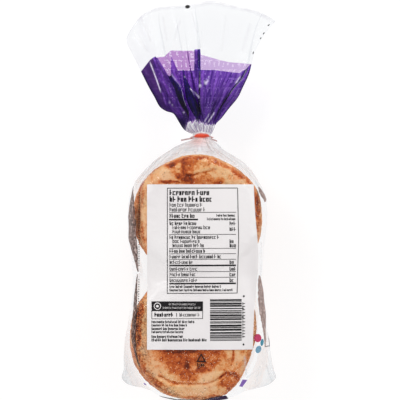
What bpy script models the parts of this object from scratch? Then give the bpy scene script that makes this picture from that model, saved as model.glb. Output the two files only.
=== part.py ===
"""A clear bag of six english muffins, shut by a twist tie and lying on its front.

Two stacks of three muffins lie one after the other along Y. The film round them is one
closed solid: an end with two flat corner ears, a body with a slight waist between the
stacks, a steep shoulder, a tied neck, and the free film above the tie as a pleated fan.
The twist tie is a flat band round the neck, twisted shut below it, with two short tails.

The origin is on the floor, below the middle of the whole pack. +Y runs along the bag to
the mouth of the fan, +X is to the right of someone who looks down on it, and +Z is up.
"""
import math

import bmesh
import bpy

MM = 0.001

# ---------------------------------------------------------------- driving dimensions, mm
MUFFIN_ACROSS = 91.0          # one muffin, flat side up
MUFFIN_THICK = 26.5           # its thickness
RADIUS = MUFFIN_ACROSS / 2
STACK_HEIGHT = 3 * MUFFIN_THICK
FIRST_STACK_Y = -103.0        # the stack at the closed end
SECOND_STACK_Y = -11.5        # the stack at the tied end
NECK_Y = 49.0                 # middle of the twist tie
NECK_X = 1.4
NECK_Z = 40.0
NECK_WIDE = 7.6               # half width of the gathered film under the tie
NECK_DEEP = 6.2               # half depth
FAN_REACH = 101.0             # from the tie to the mouth
MOUTH_PEAK = 3.4              # how far the middle of the mouth stands out beyond that
FAN_PLEATS = 5.5              # whole pleats across one face
PLEAT_DEPTH = 6.0             # at the mouth
EAR_EDGE = 0.9                # half thickness of an ear at its edge
TIE_WIDE = 4.2                # width of the band along the bag
TIE_THICK = 0.8
GAP = 0.3                     # between the band and the film

RING = 68                     # points round every section of the bag

# Sections of the body, from the closed end to the neck: place along Y, reach to the left
# and right in muffin radii, lowest point in mm, highest point in stack heights,
# squareness, how far the top leans to the right, how far the ears stand out in mm.
BODY = (
    (FIRST_STACK_Y - 1.081 * RADIUS, -0.418, 0.308, 11.0, 0.780, 2.6, 1.0, 0.0, 0.0),
    (FIRST_STACK_Y - 1.037 * RADIUS, -0.637, 0.516, 5.0, 0.855, 2.9, 1.5, 0.0, 0.0),
    (FIRST_STACK_Y - 0.978 * RADIUS, -0.758, 0.648, 2.0, 0.906, 3.2, 2.0, 0.0, 0.0),
    (FIRST_STACK_Y - 0.912 * RADIUS, -0.835, 0.736, 0.5, 0.943, 3.5, 2.5, 4.0, 9.0),
    (FIRST_STACK_Y - 0.835 * RADIUS, -0.912, 0.802, 0.0, 0.969, 3.8, 2.5, 14.0, 16.5),
    (FIRST_STACK_Y - 0.747 * RADIUS, -0.978, 0.868, -0.5, 0.981, 4.0, 2.5, 15.2, 18.0),
    (FIRST_STACK_Y - 0.593 * RADIUS, -1.062, 0.941, -1.0, 0.994, 4.2, 2.5, 10.0, 13.6),
    (FIRST_STACK_Y - 0.352 * RADIUS, -1.134, 1.011, -1.2, 1.001, 4.4, 2.5, 6.4, 8.2),
    (FIRST_STACK_Y - 0.022 * RADIUS, -1.174, 1.068, -1.4, 1.006, 4.6, 2.5, 3.2, 3.4),
    (FIRST_STACK_Y + 0.330 * RADIUS, -1.160, 1.073, -1.2, 0.999, 4.4, 2.5, 0.8, 1.0),
    (FIRST_STACK_Y + 0.681 * RADIUS, -1.121, 1.042, -0.6, 0.981, 4.0, 2.8, 0.0, 0.0),
    (FIRST_STACK_Y + 1.000 * RADIUS, -1.116, 1.015, -0.2, 0.969, 3.8, 3.0, 0.0, 0.0),
    (SECOND_STACK_Y - 0.692 * RADIUS, -1.147, 1.029, -0.8, 0.986, 4.0, 3.0, 0.0, 0.0),
    (SECOND_STACK_Y - 0.341 * RADIUS, -1.204, 1.064, -1.2, 1.004, 4.4, 3.0, 0.0, 0.0),
    (SECOND_STACK_Y + 0.000 * RADIUS, -1.204, 1.095, -1.4, 1.011, 4.6, 3.0, 0.0, 0.0),
    (SECOND_STACK_Y + 0.319 * RADIUS, -1.178, 1.073, -1.2, 1.011, 4.4, 3.0, 0.0, 0.0),
    (SECOND_STACK_Y + 0.538 * RADIUS, -1.116, 0.989, -0.4, 1.009, 4.0, 2.6, 0.0, 0.0),
    (SECOND_STACK_Y + 0.714 * RADIUS, -0.985, 0.892, 0.6, 1.001, 3.6, 2.2, 0.0, 0.0),
    (SECOND_STACK_Y + 0.868 * RADIUS, -0.844, 0.765, 3.4, 0.976, 3.1, 1.6, 0.0, 0.0),
    (SECOND_STACK_Y + 0.993 * RADIUS, -0.712, 0.607, 8.0, 0.928, 2.7, 1.0, 0.0, 0.0),
    (NECK_Y - 10.6, -0.571, 0.453, 15.6, 0.838, 2.4, 0.4, 0.0, 0.0),
    (NECK_Y - 7.0, -0.409, 0.356, 23.6, 0.727, 2.2, 0.0, 0.0, 0.0),
    (NECK_Y - 4.4, -0.237, 0.264, 30.0, 0.636, 2.0, 0.0, 0.0, 0.0),
    (NECK_Y - 2.8, -0.136, 0.198, 33.8, 0.581, 2.0, 0.0, 0.0, 0.0),
)

# Sections of the fan, from the tie to the mouth: share of the reach, where its left edge
# lies (out, along), where its right edge lies, half depth at the middle, and height of
# its middle above the floor.
FAN = (
    (0.035, 7.6, 3.4, 7.6, 3.4, 6.2, 40.0),
    (0.07, 12.0, 5.2, 9.4, 5.6, 7.4, 39.6),
    (0.12, 17.6, 8.4, 12.6, 9.0, 9.4, 39.0),
    (0.20, 25.0, 15.2, 18.4, 14.8, 11.2, 37.6),
    (0.30, 32.4, 22.4, 24.2, 22.6, 12.4, 35.6),
    (0.46, 40.8, 36.0, 31.2, 34.4, 13.4, 32.0),
    (0.62, 47.4, 50.0, 37.2, 50.0, 13.8, 28.6),
    (0.78, 53.6, 63.5, 41.8, 65.0, 14.0, 25.4),
    (0.90, 57.6, 71.5, 47.2, 77.3, 14.2, 23.2),
    (1.00, 58.4, 76.0, 54.8, 89.0, 14.4, 21.6),
)

BODY_SECTIONS = 41
FAN_SECTIONS = 24


# ---------------------------------------------------------------- curves
def along(table, t):
    """The row of a table at t, with its columns joined by smooth curves that don't swing out."""
    rows = len(table)
    k = 0
    while k < rows - 2 and t > table[k + 1][0]:
        k += 1
    t0 = table[k][0]
    t1 = table[k + 1][0]
    step = t1 - t0
    s = min(1.0, max(0.0, (t - t0) / step))
    row = []
    for c in range(1, len(table[0])):
        slope = []
        for j in (k, k + 1):
            if j == 0 or j == rows - 1:
                a = max(0, j - 1)
                b = min(rows - 1, j + 1)
                slope.append((table[b][c] - table[a][c]) / (table[b][0] - table[a][0]))
                continue
            before = (table[j][c] - table[j - 1][c]) / (table[j][0] - table[j - 1][0])
            after = (table[j + 1][c] - table[j][c]) / (table[j + 1][0] - table[j][0])
            slope.append(2 * before * after / (before + after) if before * after > 0 else 0.0)
        h00 = (1 + 2 * s) * (1 - s) ** 2
        h10 = s * (1 - s) ** 2
        h01 = s * s * (3 - 2 * s)
        h11 = s * s * (s - 1)
        row.append(h00 * table[k][c] + h10 * step * slope[0]
                   + h01 * table[k + 1][c] + h11 * step * slope[1])
    return row


def ring_angle(k):
    """Angles round a section, closer together at the left and right edges."""
    a = 2 * math.pi * k / RING
    return a - 0.26 * math.sin(2 * a)


def power(value, exponent):
    return math.copysign(abs(value) ** exponent, value)


# ---------------------------------------------------------------- sections of the bag
def body_section(y):
    """One closed section across the body, with the two ears as thin fins at half height."""
    left, right, low, high, square, lean, ear_left, ear_right = along(BODY, y)
    mid_x = (left + right) / 2 * RADIUS
    half_x = (right - left) / 2 * RADIUS
    mid_z = (low + high * STACK_HEIGHT) / 2
    half_z = (high * STACK_HEIGHT - low) / 2
    points = []
    for k in range(RING):
        a = ring_angle(k)
        across = power(math.cos(a), 2 / square)
        up = power(math.sin(a), 2 / square)
        ear = ear_right if across > 0 else ear_left
        x = mid_x + half_x * across + lean * up
        z = mid_z + half_z * up
        out = max(0.0, 1 - abs(math.sin(a)) / 0.17)
        if ear > 0.05 and out > 0:
            x += math.copysign(ear * out, across)
            z = mid_z + (z - mid_z) * (1 - out) + math.copysign(EAR_EDGE * out, up) * (up != 0)
        points.append((x, y, max(0.0, z)))
    return points


def pleat(across, share):
    """Height of the radial pleats at a place across the fan."""
    wave = math.sin(math.pi * FAN_PLEATS * across + 0.7)
    small = math.sin(math.pi * 2.3 * FAN_PLEATS * across + 2.1)
    grown = min(1.0, max(0.0, (share - 0.05) / 0.6))
    return PLEAT_DEPTH * grown * (0.8 * wave + 0.2 * small)


def fan_section(share):
    """One section through the fan, bowed back from the mouth at its two edges."""
    left_x, left_y, right_x, right_y, deep, mid_z = along(FAN, share)
    evenly = min(1.0, share / 0.3)
    middle = FAN_REACH * share
    points = []
    for k in range(RING):
        a = ring_angle(k)
        turn = (a % (2 * math.pi)) / math.pi
        even = 1 - 2 * turn if turn <= 1 else 2 * turn - 3
        u = math.cos(a) * (1 - evenly) + even * evenly
        if u > 0:
            x = u * right_x
            back = (middle - right_y) * u ** 2.2
        else:
            x = u * left_x
            back = (middle - left_y) * abs(u) ** (2.2 + 1.8 * share)
        y = middle - back + MOUTH_PEAK * share ** 6 * math.exp(-((u - 0.13) / 0.22) ** 2)
        thick = deep * (1 - abs(u) ** (2 + 0.6 * share)) ** (1 - 0.5 * (1 - evenly))
        edge = 1 - u ** 6
        z = mid_z + math.copysign(thick, math.sin(a)) + pleat(u, share) * edge
        if abs(math.sin(a)) < 1e-6:
            z = mid_z
        points.append((NECK_X + x, NECK_Y + y, max(0.4, z)))
    return points


def loft(name, sections):
    """Join closed sections of equal length into one solid."""
    count = len(sections[0])
    verts = [p for section in sections for p in section]
    faces = []
    for s in range(len(sections) - 1):
        for k in range(count):
            a = s * count + k
            b = s * count + (k + 1) % count
            faces.append((a, a + count, b + count, b))
    first = 0
    last = (len(sections) - 1) * count
    half = count // 2
    for k in range(half):
        low = (count - k) % count
        low_next = count - k - 1
        for base, flip in ((first, False), (last, True)):
            face = [base + k, base + k + 1, base + low_next, base + low]
            if k == 0:
                face = [base, base + 1, base + count - 1]
            if k == half - 1:
                face = [base + k, base + half, base + low]
            faces.append(tuple(reversed(face)) if flip else tuple(face))
    mesh = bpy.data.meshes.new(name)
    mesh.from_pydata([(x * MM, y * MM, z * MM) for x, y, z in verts], [], faces)
    mesh.validate()
    mesh.update()
    return bpy.data.objects.new(name, mesh)


# ---------------------------------------------------------------- twist tie
def strip(name, path, closed=False):
    """A flat band along a path of (point, across, outward), as one closed solid."""
    verts = []
    for point, across, outward in path:
        for s, t in ((-0.5, 0), (0.5, 0), (0.5, 1), (-0.5, 1)):
            verts.append(tuple(
                (point[i] + across[i] * TIE_WIDE * s + outward[i] * TIE_THICK * t) * MM
                for i in range(3)))
    faces = []
    count = len(path)
    for k in range(count if closed else count - 1):
        a = 4 * k
        b = 4 * ((k + 1) % count)
        for i in range(4):
            j = (i + 1) % 4
            faces.append((a + i, b + i, b + j, a + j))
    if not closed:
        faces.append((0, 1, 2, 3))
        last = 4 * (count - 1)
        faces.append((last + 3, last + 2, last + 1, last))
    mesh = bpy.data.meshes.new(name)
    mesh.from_pydata(verts, [], faces)
    mesh.validate()
    mesh.update()
    return bpy.data.objects.new(name, mesh)


def band_path():
    """The band round the neck. Its upper run bows a little towards the fan."""
    path = []
    steps = 40
    for k in range(steps):
        a = 2 * math.pi * k / steps
        rx = NECK_WIDE + GAP
        rz = NECK_DEEP + GAP
        bow = 1.0 * math.sin(a) if math.sin(a) > 0 else 0.0
        point = (NECK_X + rx * math.cos(a), NECK_Y - 0.5 + bow, NECK_Z + rz * math.sin(a))
        nx = math.cos(a) / rx
        nz = math.sin(a) / rz
        size = math.hypot(nx, nz)
        path.append((point, (0, 1, 0), (nx / size, 0, nz / size)))
    return path


def tail_path(side, reach, drop):
    """One tail, from the twist below the neck out to the side and back along the shoulder."""
    path = []
    steps = 14
    for k in range(steps):
        s = k / (steps - 1)
        x = NECK_X + side * (0.4 + reach * s)
        y = NECK_Y - 0.5 - drop * s ** 2.2
        z = NECK_Z - NECK_DEEP - GAP - 3.6 + 5.6 * s ** 3
        turn = math.pi * (1.0 - s) * 0.9
        across = (0, math.cos(turn * 0.5), math.sin(turn * 0.5))
        outward = (0, -math.sin(turn * 0.5), math.cos(turn * 0.5))
        path.append(((x, y, z), across, outward))
    return path


def twist_path():
    """The twisted pair just below the neck, as one stout twisted bar."""
    path = []
    steps = 16
    for k in range(steps):
        s = k / (steps - 1)
        turn = 2 * math.pi * 0.75 * s
        x = NECK_X - 3.2 + 6.4 * s
        across = (0, math.cos(turn), math.sin(turn))
        outward = (0, -math.sin(turn), math.cos(turn))
        centre = (x, NECK_Y - 0.5 - outward[1] * TIE_THICK / 2,
                  NECK_Z - NECK_DEEP - GAP - 2.6 - outward[2] * TIE_THICK / 2)
        path.append((centre, across, outward))
    return path


def closed_out(obj):
    """Turn all faces outwards."""
    bm = bmesh.new()
    bm.from_mesh(obj.data)
    bmesh.ops.remove_doubles(bm, verts=bm.verts, dist=0.000005)
    bmesh.ops.recalc_face_normals(bm, faces=bm.faces)
    bm.to_mesh(obj.data)
    bm.free()


# ---------------------------------------------------------------- scene
def clear_scene():
    for obj in list(bpy.data.objects):
        bpy.data.objects.remove(obj, do_unlink=True)


def plain_material(name, colour, roughness, alpha=1.0):
    mat = bpy.data.materials.new(name)
    mat.use_nodes = True
    shader = mat.node_tree.nodes["Principled BSDF"]
    shader.inputs["Base Color"].default_value = (*colour, 1)
    shader.inputs["Roughness"].default_value = roughness
    shader.inputs["Metallic"].default_value = 0.0
    shader.inputs["Alpha"].default_value = alpha
    return mat


def join_into(target, other):
    """Union a second closed solid into the first."""
    union = target.modifiers.new("join " + other.name, "BOOLEAN")
    union.operation = "UNION"
    union.solver = "EXACT"
    union.object = other
    other.hide_render = True
    other.display_type = "WIRE"


def main():
    clear_scene()
    pack = bpy.data.collections.new("muffin pack")
    shaping = bpy.data.collections.new("joined into the tie")
    bpy.context.scene.collection.children.link(pack)
    bpy.context.scene.collection.children.link(shaping)

    start = BODY[0][0]
    end = BODY[-1][0]
    sections = []
    for k in range(BODY_SECTIONS):
        s = k / (BODY_SECTIONS - 1)
        even = s - 0.11 * math.sin(2 * math.pi * s)
        sections.append(body_section(start + (end - start) * even))
    for k in range(FAN_SECTIONS):
        s = k / (FAN_SECTIONS - 1)
        sections.append(fan_section(FAN[0][0] + (1 - FAN[0][0]) * s ** 1.15))
    bag = loft("bag", sections)
    closed_out(bag)
    pack.objects.link(bag)
    bag.data.materials.append(plain_material("clear film", (0.80, 0.62, 0.48), 0.25))
    bag.data.shade_smooth()

    tie = strip("twist_tie", band_path(), closed=True)
    pack.objects.link(tie)
    closed_out(tie)
    tie.data.materials.append(plain_material("tie plastic", (0.62, 0.07, 0.02), 0.45))
    pieces = (strip("twist", twist_path()),
              strip("left tail", tail_path(-1, 15.6, 2.4)),
              strip("right tail", tail_path(1, 11.4, 3.0)),
              strip("twist root", [
                  ((NECK_X - 1.2, NECK_Y - 0.5, NECK_Z - NECK_DEEP - GAP - 3.6), (0, 1, 0), (1, 0, 0)),
                  ((NECK_X - 1.2, NECK_Y - 0.5, NECK_Z - NECK_DEEP - GAP - 0.3), (0, 1, 0), (1, 0, 0))]))
    for piece in pieces:
        shaping.objects.link(piece)
        closed_out(piece)
        join_into(tie, piece)

    low = [min(p[i] for s in sections for p in s) for i in range(3)]
    high = [max(p[i] for s in sections for p in s) for i in range(3)]
    shift = (-(low[0] + high[0]) / 2 * MM, -(low[1] + high[1]) / 2 * MM, -low[2] * MM)
    for obj in list(pack.objects) + list(shaping.objects):
        for vert in obj.data.vertices:
            vert.co.x += shift[0]
            vert.co.y += shift[1]
            vert.co.z += shift[2]


main()
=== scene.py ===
"""The looks of a clear bag of english muffins, lying on its front and shut by a twist tie.

Everything is drawn in the bag's own millimetres: X across the bag, Y along it from the
closed end to the mouth, Z up from the floor. at() turns them into the frame's metres.
"""

import math
import random

import bmesh
import bpy
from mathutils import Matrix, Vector, noise
from mathutils.bvhtree import BVHTree


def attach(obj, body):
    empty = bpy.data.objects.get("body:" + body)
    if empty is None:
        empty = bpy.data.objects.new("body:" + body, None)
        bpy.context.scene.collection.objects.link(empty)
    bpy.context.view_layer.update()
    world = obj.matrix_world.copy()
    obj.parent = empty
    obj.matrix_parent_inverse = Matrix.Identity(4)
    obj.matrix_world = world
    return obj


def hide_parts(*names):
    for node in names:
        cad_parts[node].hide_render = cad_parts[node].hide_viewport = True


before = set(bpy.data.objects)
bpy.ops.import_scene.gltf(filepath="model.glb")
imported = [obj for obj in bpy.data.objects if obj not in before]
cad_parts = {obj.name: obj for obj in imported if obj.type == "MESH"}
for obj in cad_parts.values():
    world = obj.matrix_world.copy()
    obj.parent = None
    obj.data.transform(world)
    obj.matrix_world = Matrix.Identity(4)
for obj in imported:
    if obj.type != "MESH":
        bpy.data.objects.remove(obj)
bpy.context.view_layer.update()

MM = 0.001
SHIFT_X = 1.095          # from the bag's own middle line to the frame's
SHIFT_Y = -0.520

MUFFIN_ACROSS = 91.0
MUFFIN_THICK = 26.5
RADIUS = MUFFIN_ACROSS / 2
STACK_HEIGHT = 3 * MUFFIN_THICK
FIRST_STACK_Y = -103.0
SECOND_STACK_Y = -11.5
NECK_X = 1.4
NECK_Y = 49.0
NECK_Z = 40.0
NECK_WIDE = 7.6
NECK_DEEP = 6.2
FAN_REACH = 101.0
MOUTH_PEAK = 3.4

# Body of the bag: place, reach left and right in muffin radii, lowest point in mm, highest
# in stack heights, squareness, lean of the top, reach of the left and right ear.
BODY = (
    (FIRST_STACK_Y - 1.081 * RADIUS, -0.418, 0.308, 11.0, 0.780, 2.6, 1.0, 0.0, 0.0),
    (FIRST_STACK_Y - 1.037 * RADIUS, -0.637, 0.516, 5.0, 0.855, 2.9, 1.5, 0.0, 0.0),
    (FIRST_STACK_Y - 0.978 * RADIUS, -0.758, 0.648, 2.0, 0.906, 3.2, 2.0, 0.0, 0.0),
    (FIRST_STACK_Y - 0.912 * RADIUS, -0.835, 0.736, 0.5, 0.943, 3.5, 2.5, 4.0, 9.0),
    (FIRST_STACK_Y - 0.835 * RADIUS, -0.912, 0.802, 0.0, 0.969, 3.8, 2.5, 14.0, 16.5),
    (FIRST_STACK_Y - 0.747 * RADIUS, -0.978, 0.868, -0.5, 0.981, 4.0, 2.5, 15.2, 18.0),
    (FIRST_STACK_Y - 0.593 * RADIUS, -1.062, 0.941, -1.0, 0.994, 4.2, 2.5, 10.0, 13.6),
    (FIRST_STACK_Y - 0.352 * RADIUS, -1.134, 1.011, -1.2, 1.001, 4.4, 2.5, 6.4, 8.2),
    (FIRST_STACK_Y - 0.022 * RADIUS, -1.174, 1.068, -1.4, 1.006, 4.6, 2.5, 3.2, 3.4),
    (FIRST_STACK_Y + 0.330 * RADIUS, -1.160, 1.073, -1.2, 0.999, 4.4, 2.5, 0.8, 1.0),
    (FIRST_STACK_Y + 0.681 * RADIUS, -1.121, 1.042, -0.6, 0.981, 4.0, 2.8, 0.0, 0.0),
    (FIRST_STACK_Y + 1.000 * RADIUS, -1.116, 1.015, -0.2, 0.969, 3.8, 3.0, 0.0, 0.0),
    (SECOND_STACK_Y - 0.692 * RADIUS, -1.147, 1.029, -0.8, 0.986, 4.0, 3.0, 0.0, 0.0),
    (SECOND_STACK_Y - 0.341 * RADIUS, -1.204, 1.064, -1.2, 1.004, 4.4, 3.0, 0.0, 0.0),
    (SECOND_STACK_Y + 0.000 * RADIUS, -1.204, 1.095, -1.4, 1.011, 4.6, 3.0, 0.0, 0.0),
    (SECOND_STACK_Y + 0.319 * RADIUS, -1.178, 1.073, -1.2, 1.011, 4.4, 3.0, 0.0, 0.0),
    (SECOND_STACK_Y + 0.538 * RADIUS, -1.116, 0.989, -0.4, 1.009, 4.0, 2.6, 0.0, 0.0),
    (SECOND_STACK_Y + 0.714 * RADIUS, -0.985, 0.892, 0.6, 1.001, 3.6, 2.2, 0.0, 0.0),
    (SECOND_STACK_Y + 0.868 * RADIUS, -0.844, 0.765, 3.4, 0.976, 3.1, 1.6, 0.0, 0.0),
    (SECOND_STACK_Y + 0.993 * RADIUS, -0.712, 0.607, 8.0, 0.928, 2.7, 1.0, 0.0, 0.0),
    (NECK_Y - 10.6, -0.571, 0.453, 15.6, 0.838, 2.4, 0.4, 0.0, 0.0),
    (NECK_Y - 7.0, -0.409, 0.356, 23.6, 0.727, 2.2, 0.0, 0.0, 0.0),
    (NECK_Y - 4.4, -0.237, 0.264, 30.0, 0.636, 2.0, 0.0, 0.0, 0.0),
    (NECK_Y - 2.8, -0.136, 0.198, 33.8, 0.581, 2.0, 0.0, 0.0, 0.0),
    (NECK_Y + 3.6, -0.132, 0.196, 33.9, 0.580, 2.0, 0.0, 0.0, 0.0),
)

# Edges of the fan: share of its reach, how far out and how far along the edge lies.
FAN_LEFT = (
    (0.03, 7.8, 1.8), (0.06, 11.8, 3.4), (0.09, 15.0, 6.6), (0.13, 17.6, 10.8),
    (0.18, 22.2, 17.4), (0.22, 27.0, 18.9), (0.28, 32.0, 22.2), (0.37, 36.3, 29.8),
    (0.46, 40.6, 37.4), (0.62, 47.0, 50.2), (0.78, 53.6, 63.5), (0.90, 57.6, 71.5),
    (1.00, 58.4, 76.0),
)
FAN_RIGHT = (
    (0.03, 7.6, 1.6), (0.06, 9.2, 5.0), (0.10, 10.9, 9.2), (0.15, 14.9, 13.4),
    (0.22, 20.2, 20.3), (0.34, 28.1, 30.3), (0.42, 31.4, 37.2), (0.55, 36.8, 49.4),
    (0.62, 38.4, 55.9), (0.70, 40.4, 63.0), (0.85, 46.0, 74.6), (0.93, 50.8, 81.4),
    (1.00, 57.2, 89.4),
)
# Share, half depth and middle height.
FAN_DEPTH = (
    (0.03, 6.2, 40.0), (0.07, 7.4, 39.6), (0.12, 9.4, 39.0), (0.20, 11.2, 37.6),
    (0.30, 12.4, 35.6), (0.46, 13.4, 32.0), (0.62, 13.8, 28.6), (0.78, 14.0, 25.4),
    (0.90, 14.2, 23.2), (1.00, 14.4, 21.6),
)


# ================================================================ small helpers
def at(x, y, z):
    return Vector(((x + SHIFT_X) * MM, (y + SHIFT_Y) * MM, z * MM))


def ease(low, high, value):
    t = min(1.0, max(0.0, (value - low) / (high - low)))
    return t * t * (3 - 2 * t)


def mix(a, b, share):
    return a + (b - a) * share


def power(value, exponent):
    return math.copysign(abs(value) ** exponent, value)


def along(table, t):
    """The row of a table at t, joined by smooth curves that don't swing out."""
    rows = len(table)
    k = 0
    while k < rows - 2 and t > table[k + 1][0]:
        k += 1
    t0 = table[k][0]
    step = table[k + 1][0] - t0
    s = min(1.0, max(0.0, (t - t0) / step))
    row = []
    for c in range(1, len(table[0])):
        slope = []
        for j in (k, k + 1):
            if j == 0 or j == rows - 1:
                a = max(0, j - 1)
                b = min(rows - 1, j + 1)
                slope.append((table[b][c] - table[a][c]) / (table[b][0] - table[a][0]))
                continue
            before = (table[j][c] - table[j - 1][c]) / (table[j][0] - table[j - 1][0])
            after = (table[j + 1][c] - table[j][c]) / (table[j + 1][0] - table[j][0])
            slope.append(2 * before * after / (before + after) if before * after > 0 else 0.0)
        row.append((1 + 2 * s) * (1 - s) ** 2 * table[k][c] + s * (1 - s) ** 2 * step * slope[0]
                   + s * s * (3 - 2 * s) * table[k + 1][c] + s * s * (s - 1) * step * slope[1])
    return row


def deselect():
    bpy.ops.object.select_all(action="DESELECT")


def only(obj):
    deselect()
    obj.select_set(True)
    bpy.context.view_layer.objects.active = obj


def finish_modifier(obj, modifier):
    only(obj)
    bpy.ops.object.modifier_apply(modifier=modifier.name)


def settle(obj):
    """Put the object's place into its mesh."""
    only(obj)
    bpy.ops.object.transform_apply(location=True, rotation=True, scale=True)


def piece(obj, name, material, replaces=None):
    """Name a finished piece, give it its finish and let it ride on the bag."""
    obj.name = name
    obj.data.name = name
    obj.data.materials.clear()
    obj.data.materials.append(material)
    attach(obj, "root")
    if replaces:
        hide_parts(replaces)
    return obj


def from_grid(name, rows, closed_across=False):
    """A sheet of quads over rows of points. The rows may close on themselves."""
    count = len(rows[0])
    faces = []
    for r in range(len(rows) - 1):
        for k in range(count if closed_across else count - 1):
            a = r * count + k
            b = r * count + (k + 1) % count
            faces.append((a, b, b + count, a + count))
    mesh = bpy.data.meshes.new(name)
    mesh.from_pydata([p for row in rows for p in row], [], faces)
    mesh.update()
    obj = bpy.data.objects.new(name, mesh)
    bpy.context.scene.collection.objects.link(obj)
    return obj


def store(obj, name, values):
    layer = obj.data.attributes.new(name, "FLOAT", "POINT")
    layer.data.foreach_set("value", values)


def tidy_normals(obj, dist=0.000002):
    bm = bmesh.new()
    bm.from_mesh(obj.data)
    bmesh.ops.remove_doubles(bm, verts=bm.verts, dist=dist)
    bmesh.ops.recalc_face_normals(bm, faces=bm.faces)
    bm.to_mesh(obj.data)
    bm.free()
    obj.data.shade_smooth()


# ================================================================ finishes
def new_material(name):
    mat = bpy.data.materials.new(name)
    mat.use_nodes = True
    tree = mat.node_tree
    tree.nodes.clear()
    return mat, tree, tree.nodes.new("ShaderNodeOutputMaterial")


def add(tree, kind, inputs=None, **settings):
    """Add a node, set its options, then its inputs by name or number: values or links."""
    made = tree.nodes.new(kind)
    for key, value in settings.items():
        setattr(made, key, value)
    for key, value in (inputs or {}).items():
        if hasattr(value, "links"):
            tree.links.new(value, made.inputs[key])
        else:
            made.inputs[key].default_value = value
    return made


def calc(tree, operation, a, b=0.0, c=None):
    inputs = {0: a, 1: b}
    if c is not None:
        inputs[2] = c
    return add(tree, "ShaderNodeMath", inputs, operation=operation).outputs[0]


def ramp(tree, fac, stops, interpolation="LINEAR"):
    made = add(tree, "ShaderNodeValToRGB", {0: fac})
    made.color_ramp.interpolation = interpolation
    elements = made.color_ramp.elements
    while len(elements) < len(stops):
        elements.new(0.5)
    for element, (place, colour) in zip(elements, stops):
        element.position = place
        element.color = (*colour, 1) if len(colour) == 3 else colour
    return made.outputs[0]


def blend_colour(tree, fac, a, b, kind="MIX"):
    made = add(tree, "ShaderNodeMix", data_type="RGBA", blend_type=kind)
    for socket, value in ((0, fac), (6, a), (7, b)):
        if hasattr(value, "links"):
            tree.links.new(value, made.inputs[socket])
        else:
            made.inputs[socket].default_value = (
                value if socket == 0 else (*value, 1) if len(value) == 3 else value)
    return made.outputs[2]


def place(tree):
    return add(tree, "ShaderNodeTexCoord").outputs["Object"]


def grain(tree, scale, detail=3.0, rough=0.6, coords=None, kind="ShaderNodeTexNoise"):
    made = add(tree, kind, {"Scale": scale, "Detail": detail, "Roughness": rough})
    tree.links.new(coords or place(tree), made.inputs["Vector"])
    return made.outputs[0]


def value_of(tree, name):
    return add(tree, "ShaderNodeAttribute", attribute_name=name).outputs["Fac"]


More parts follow.
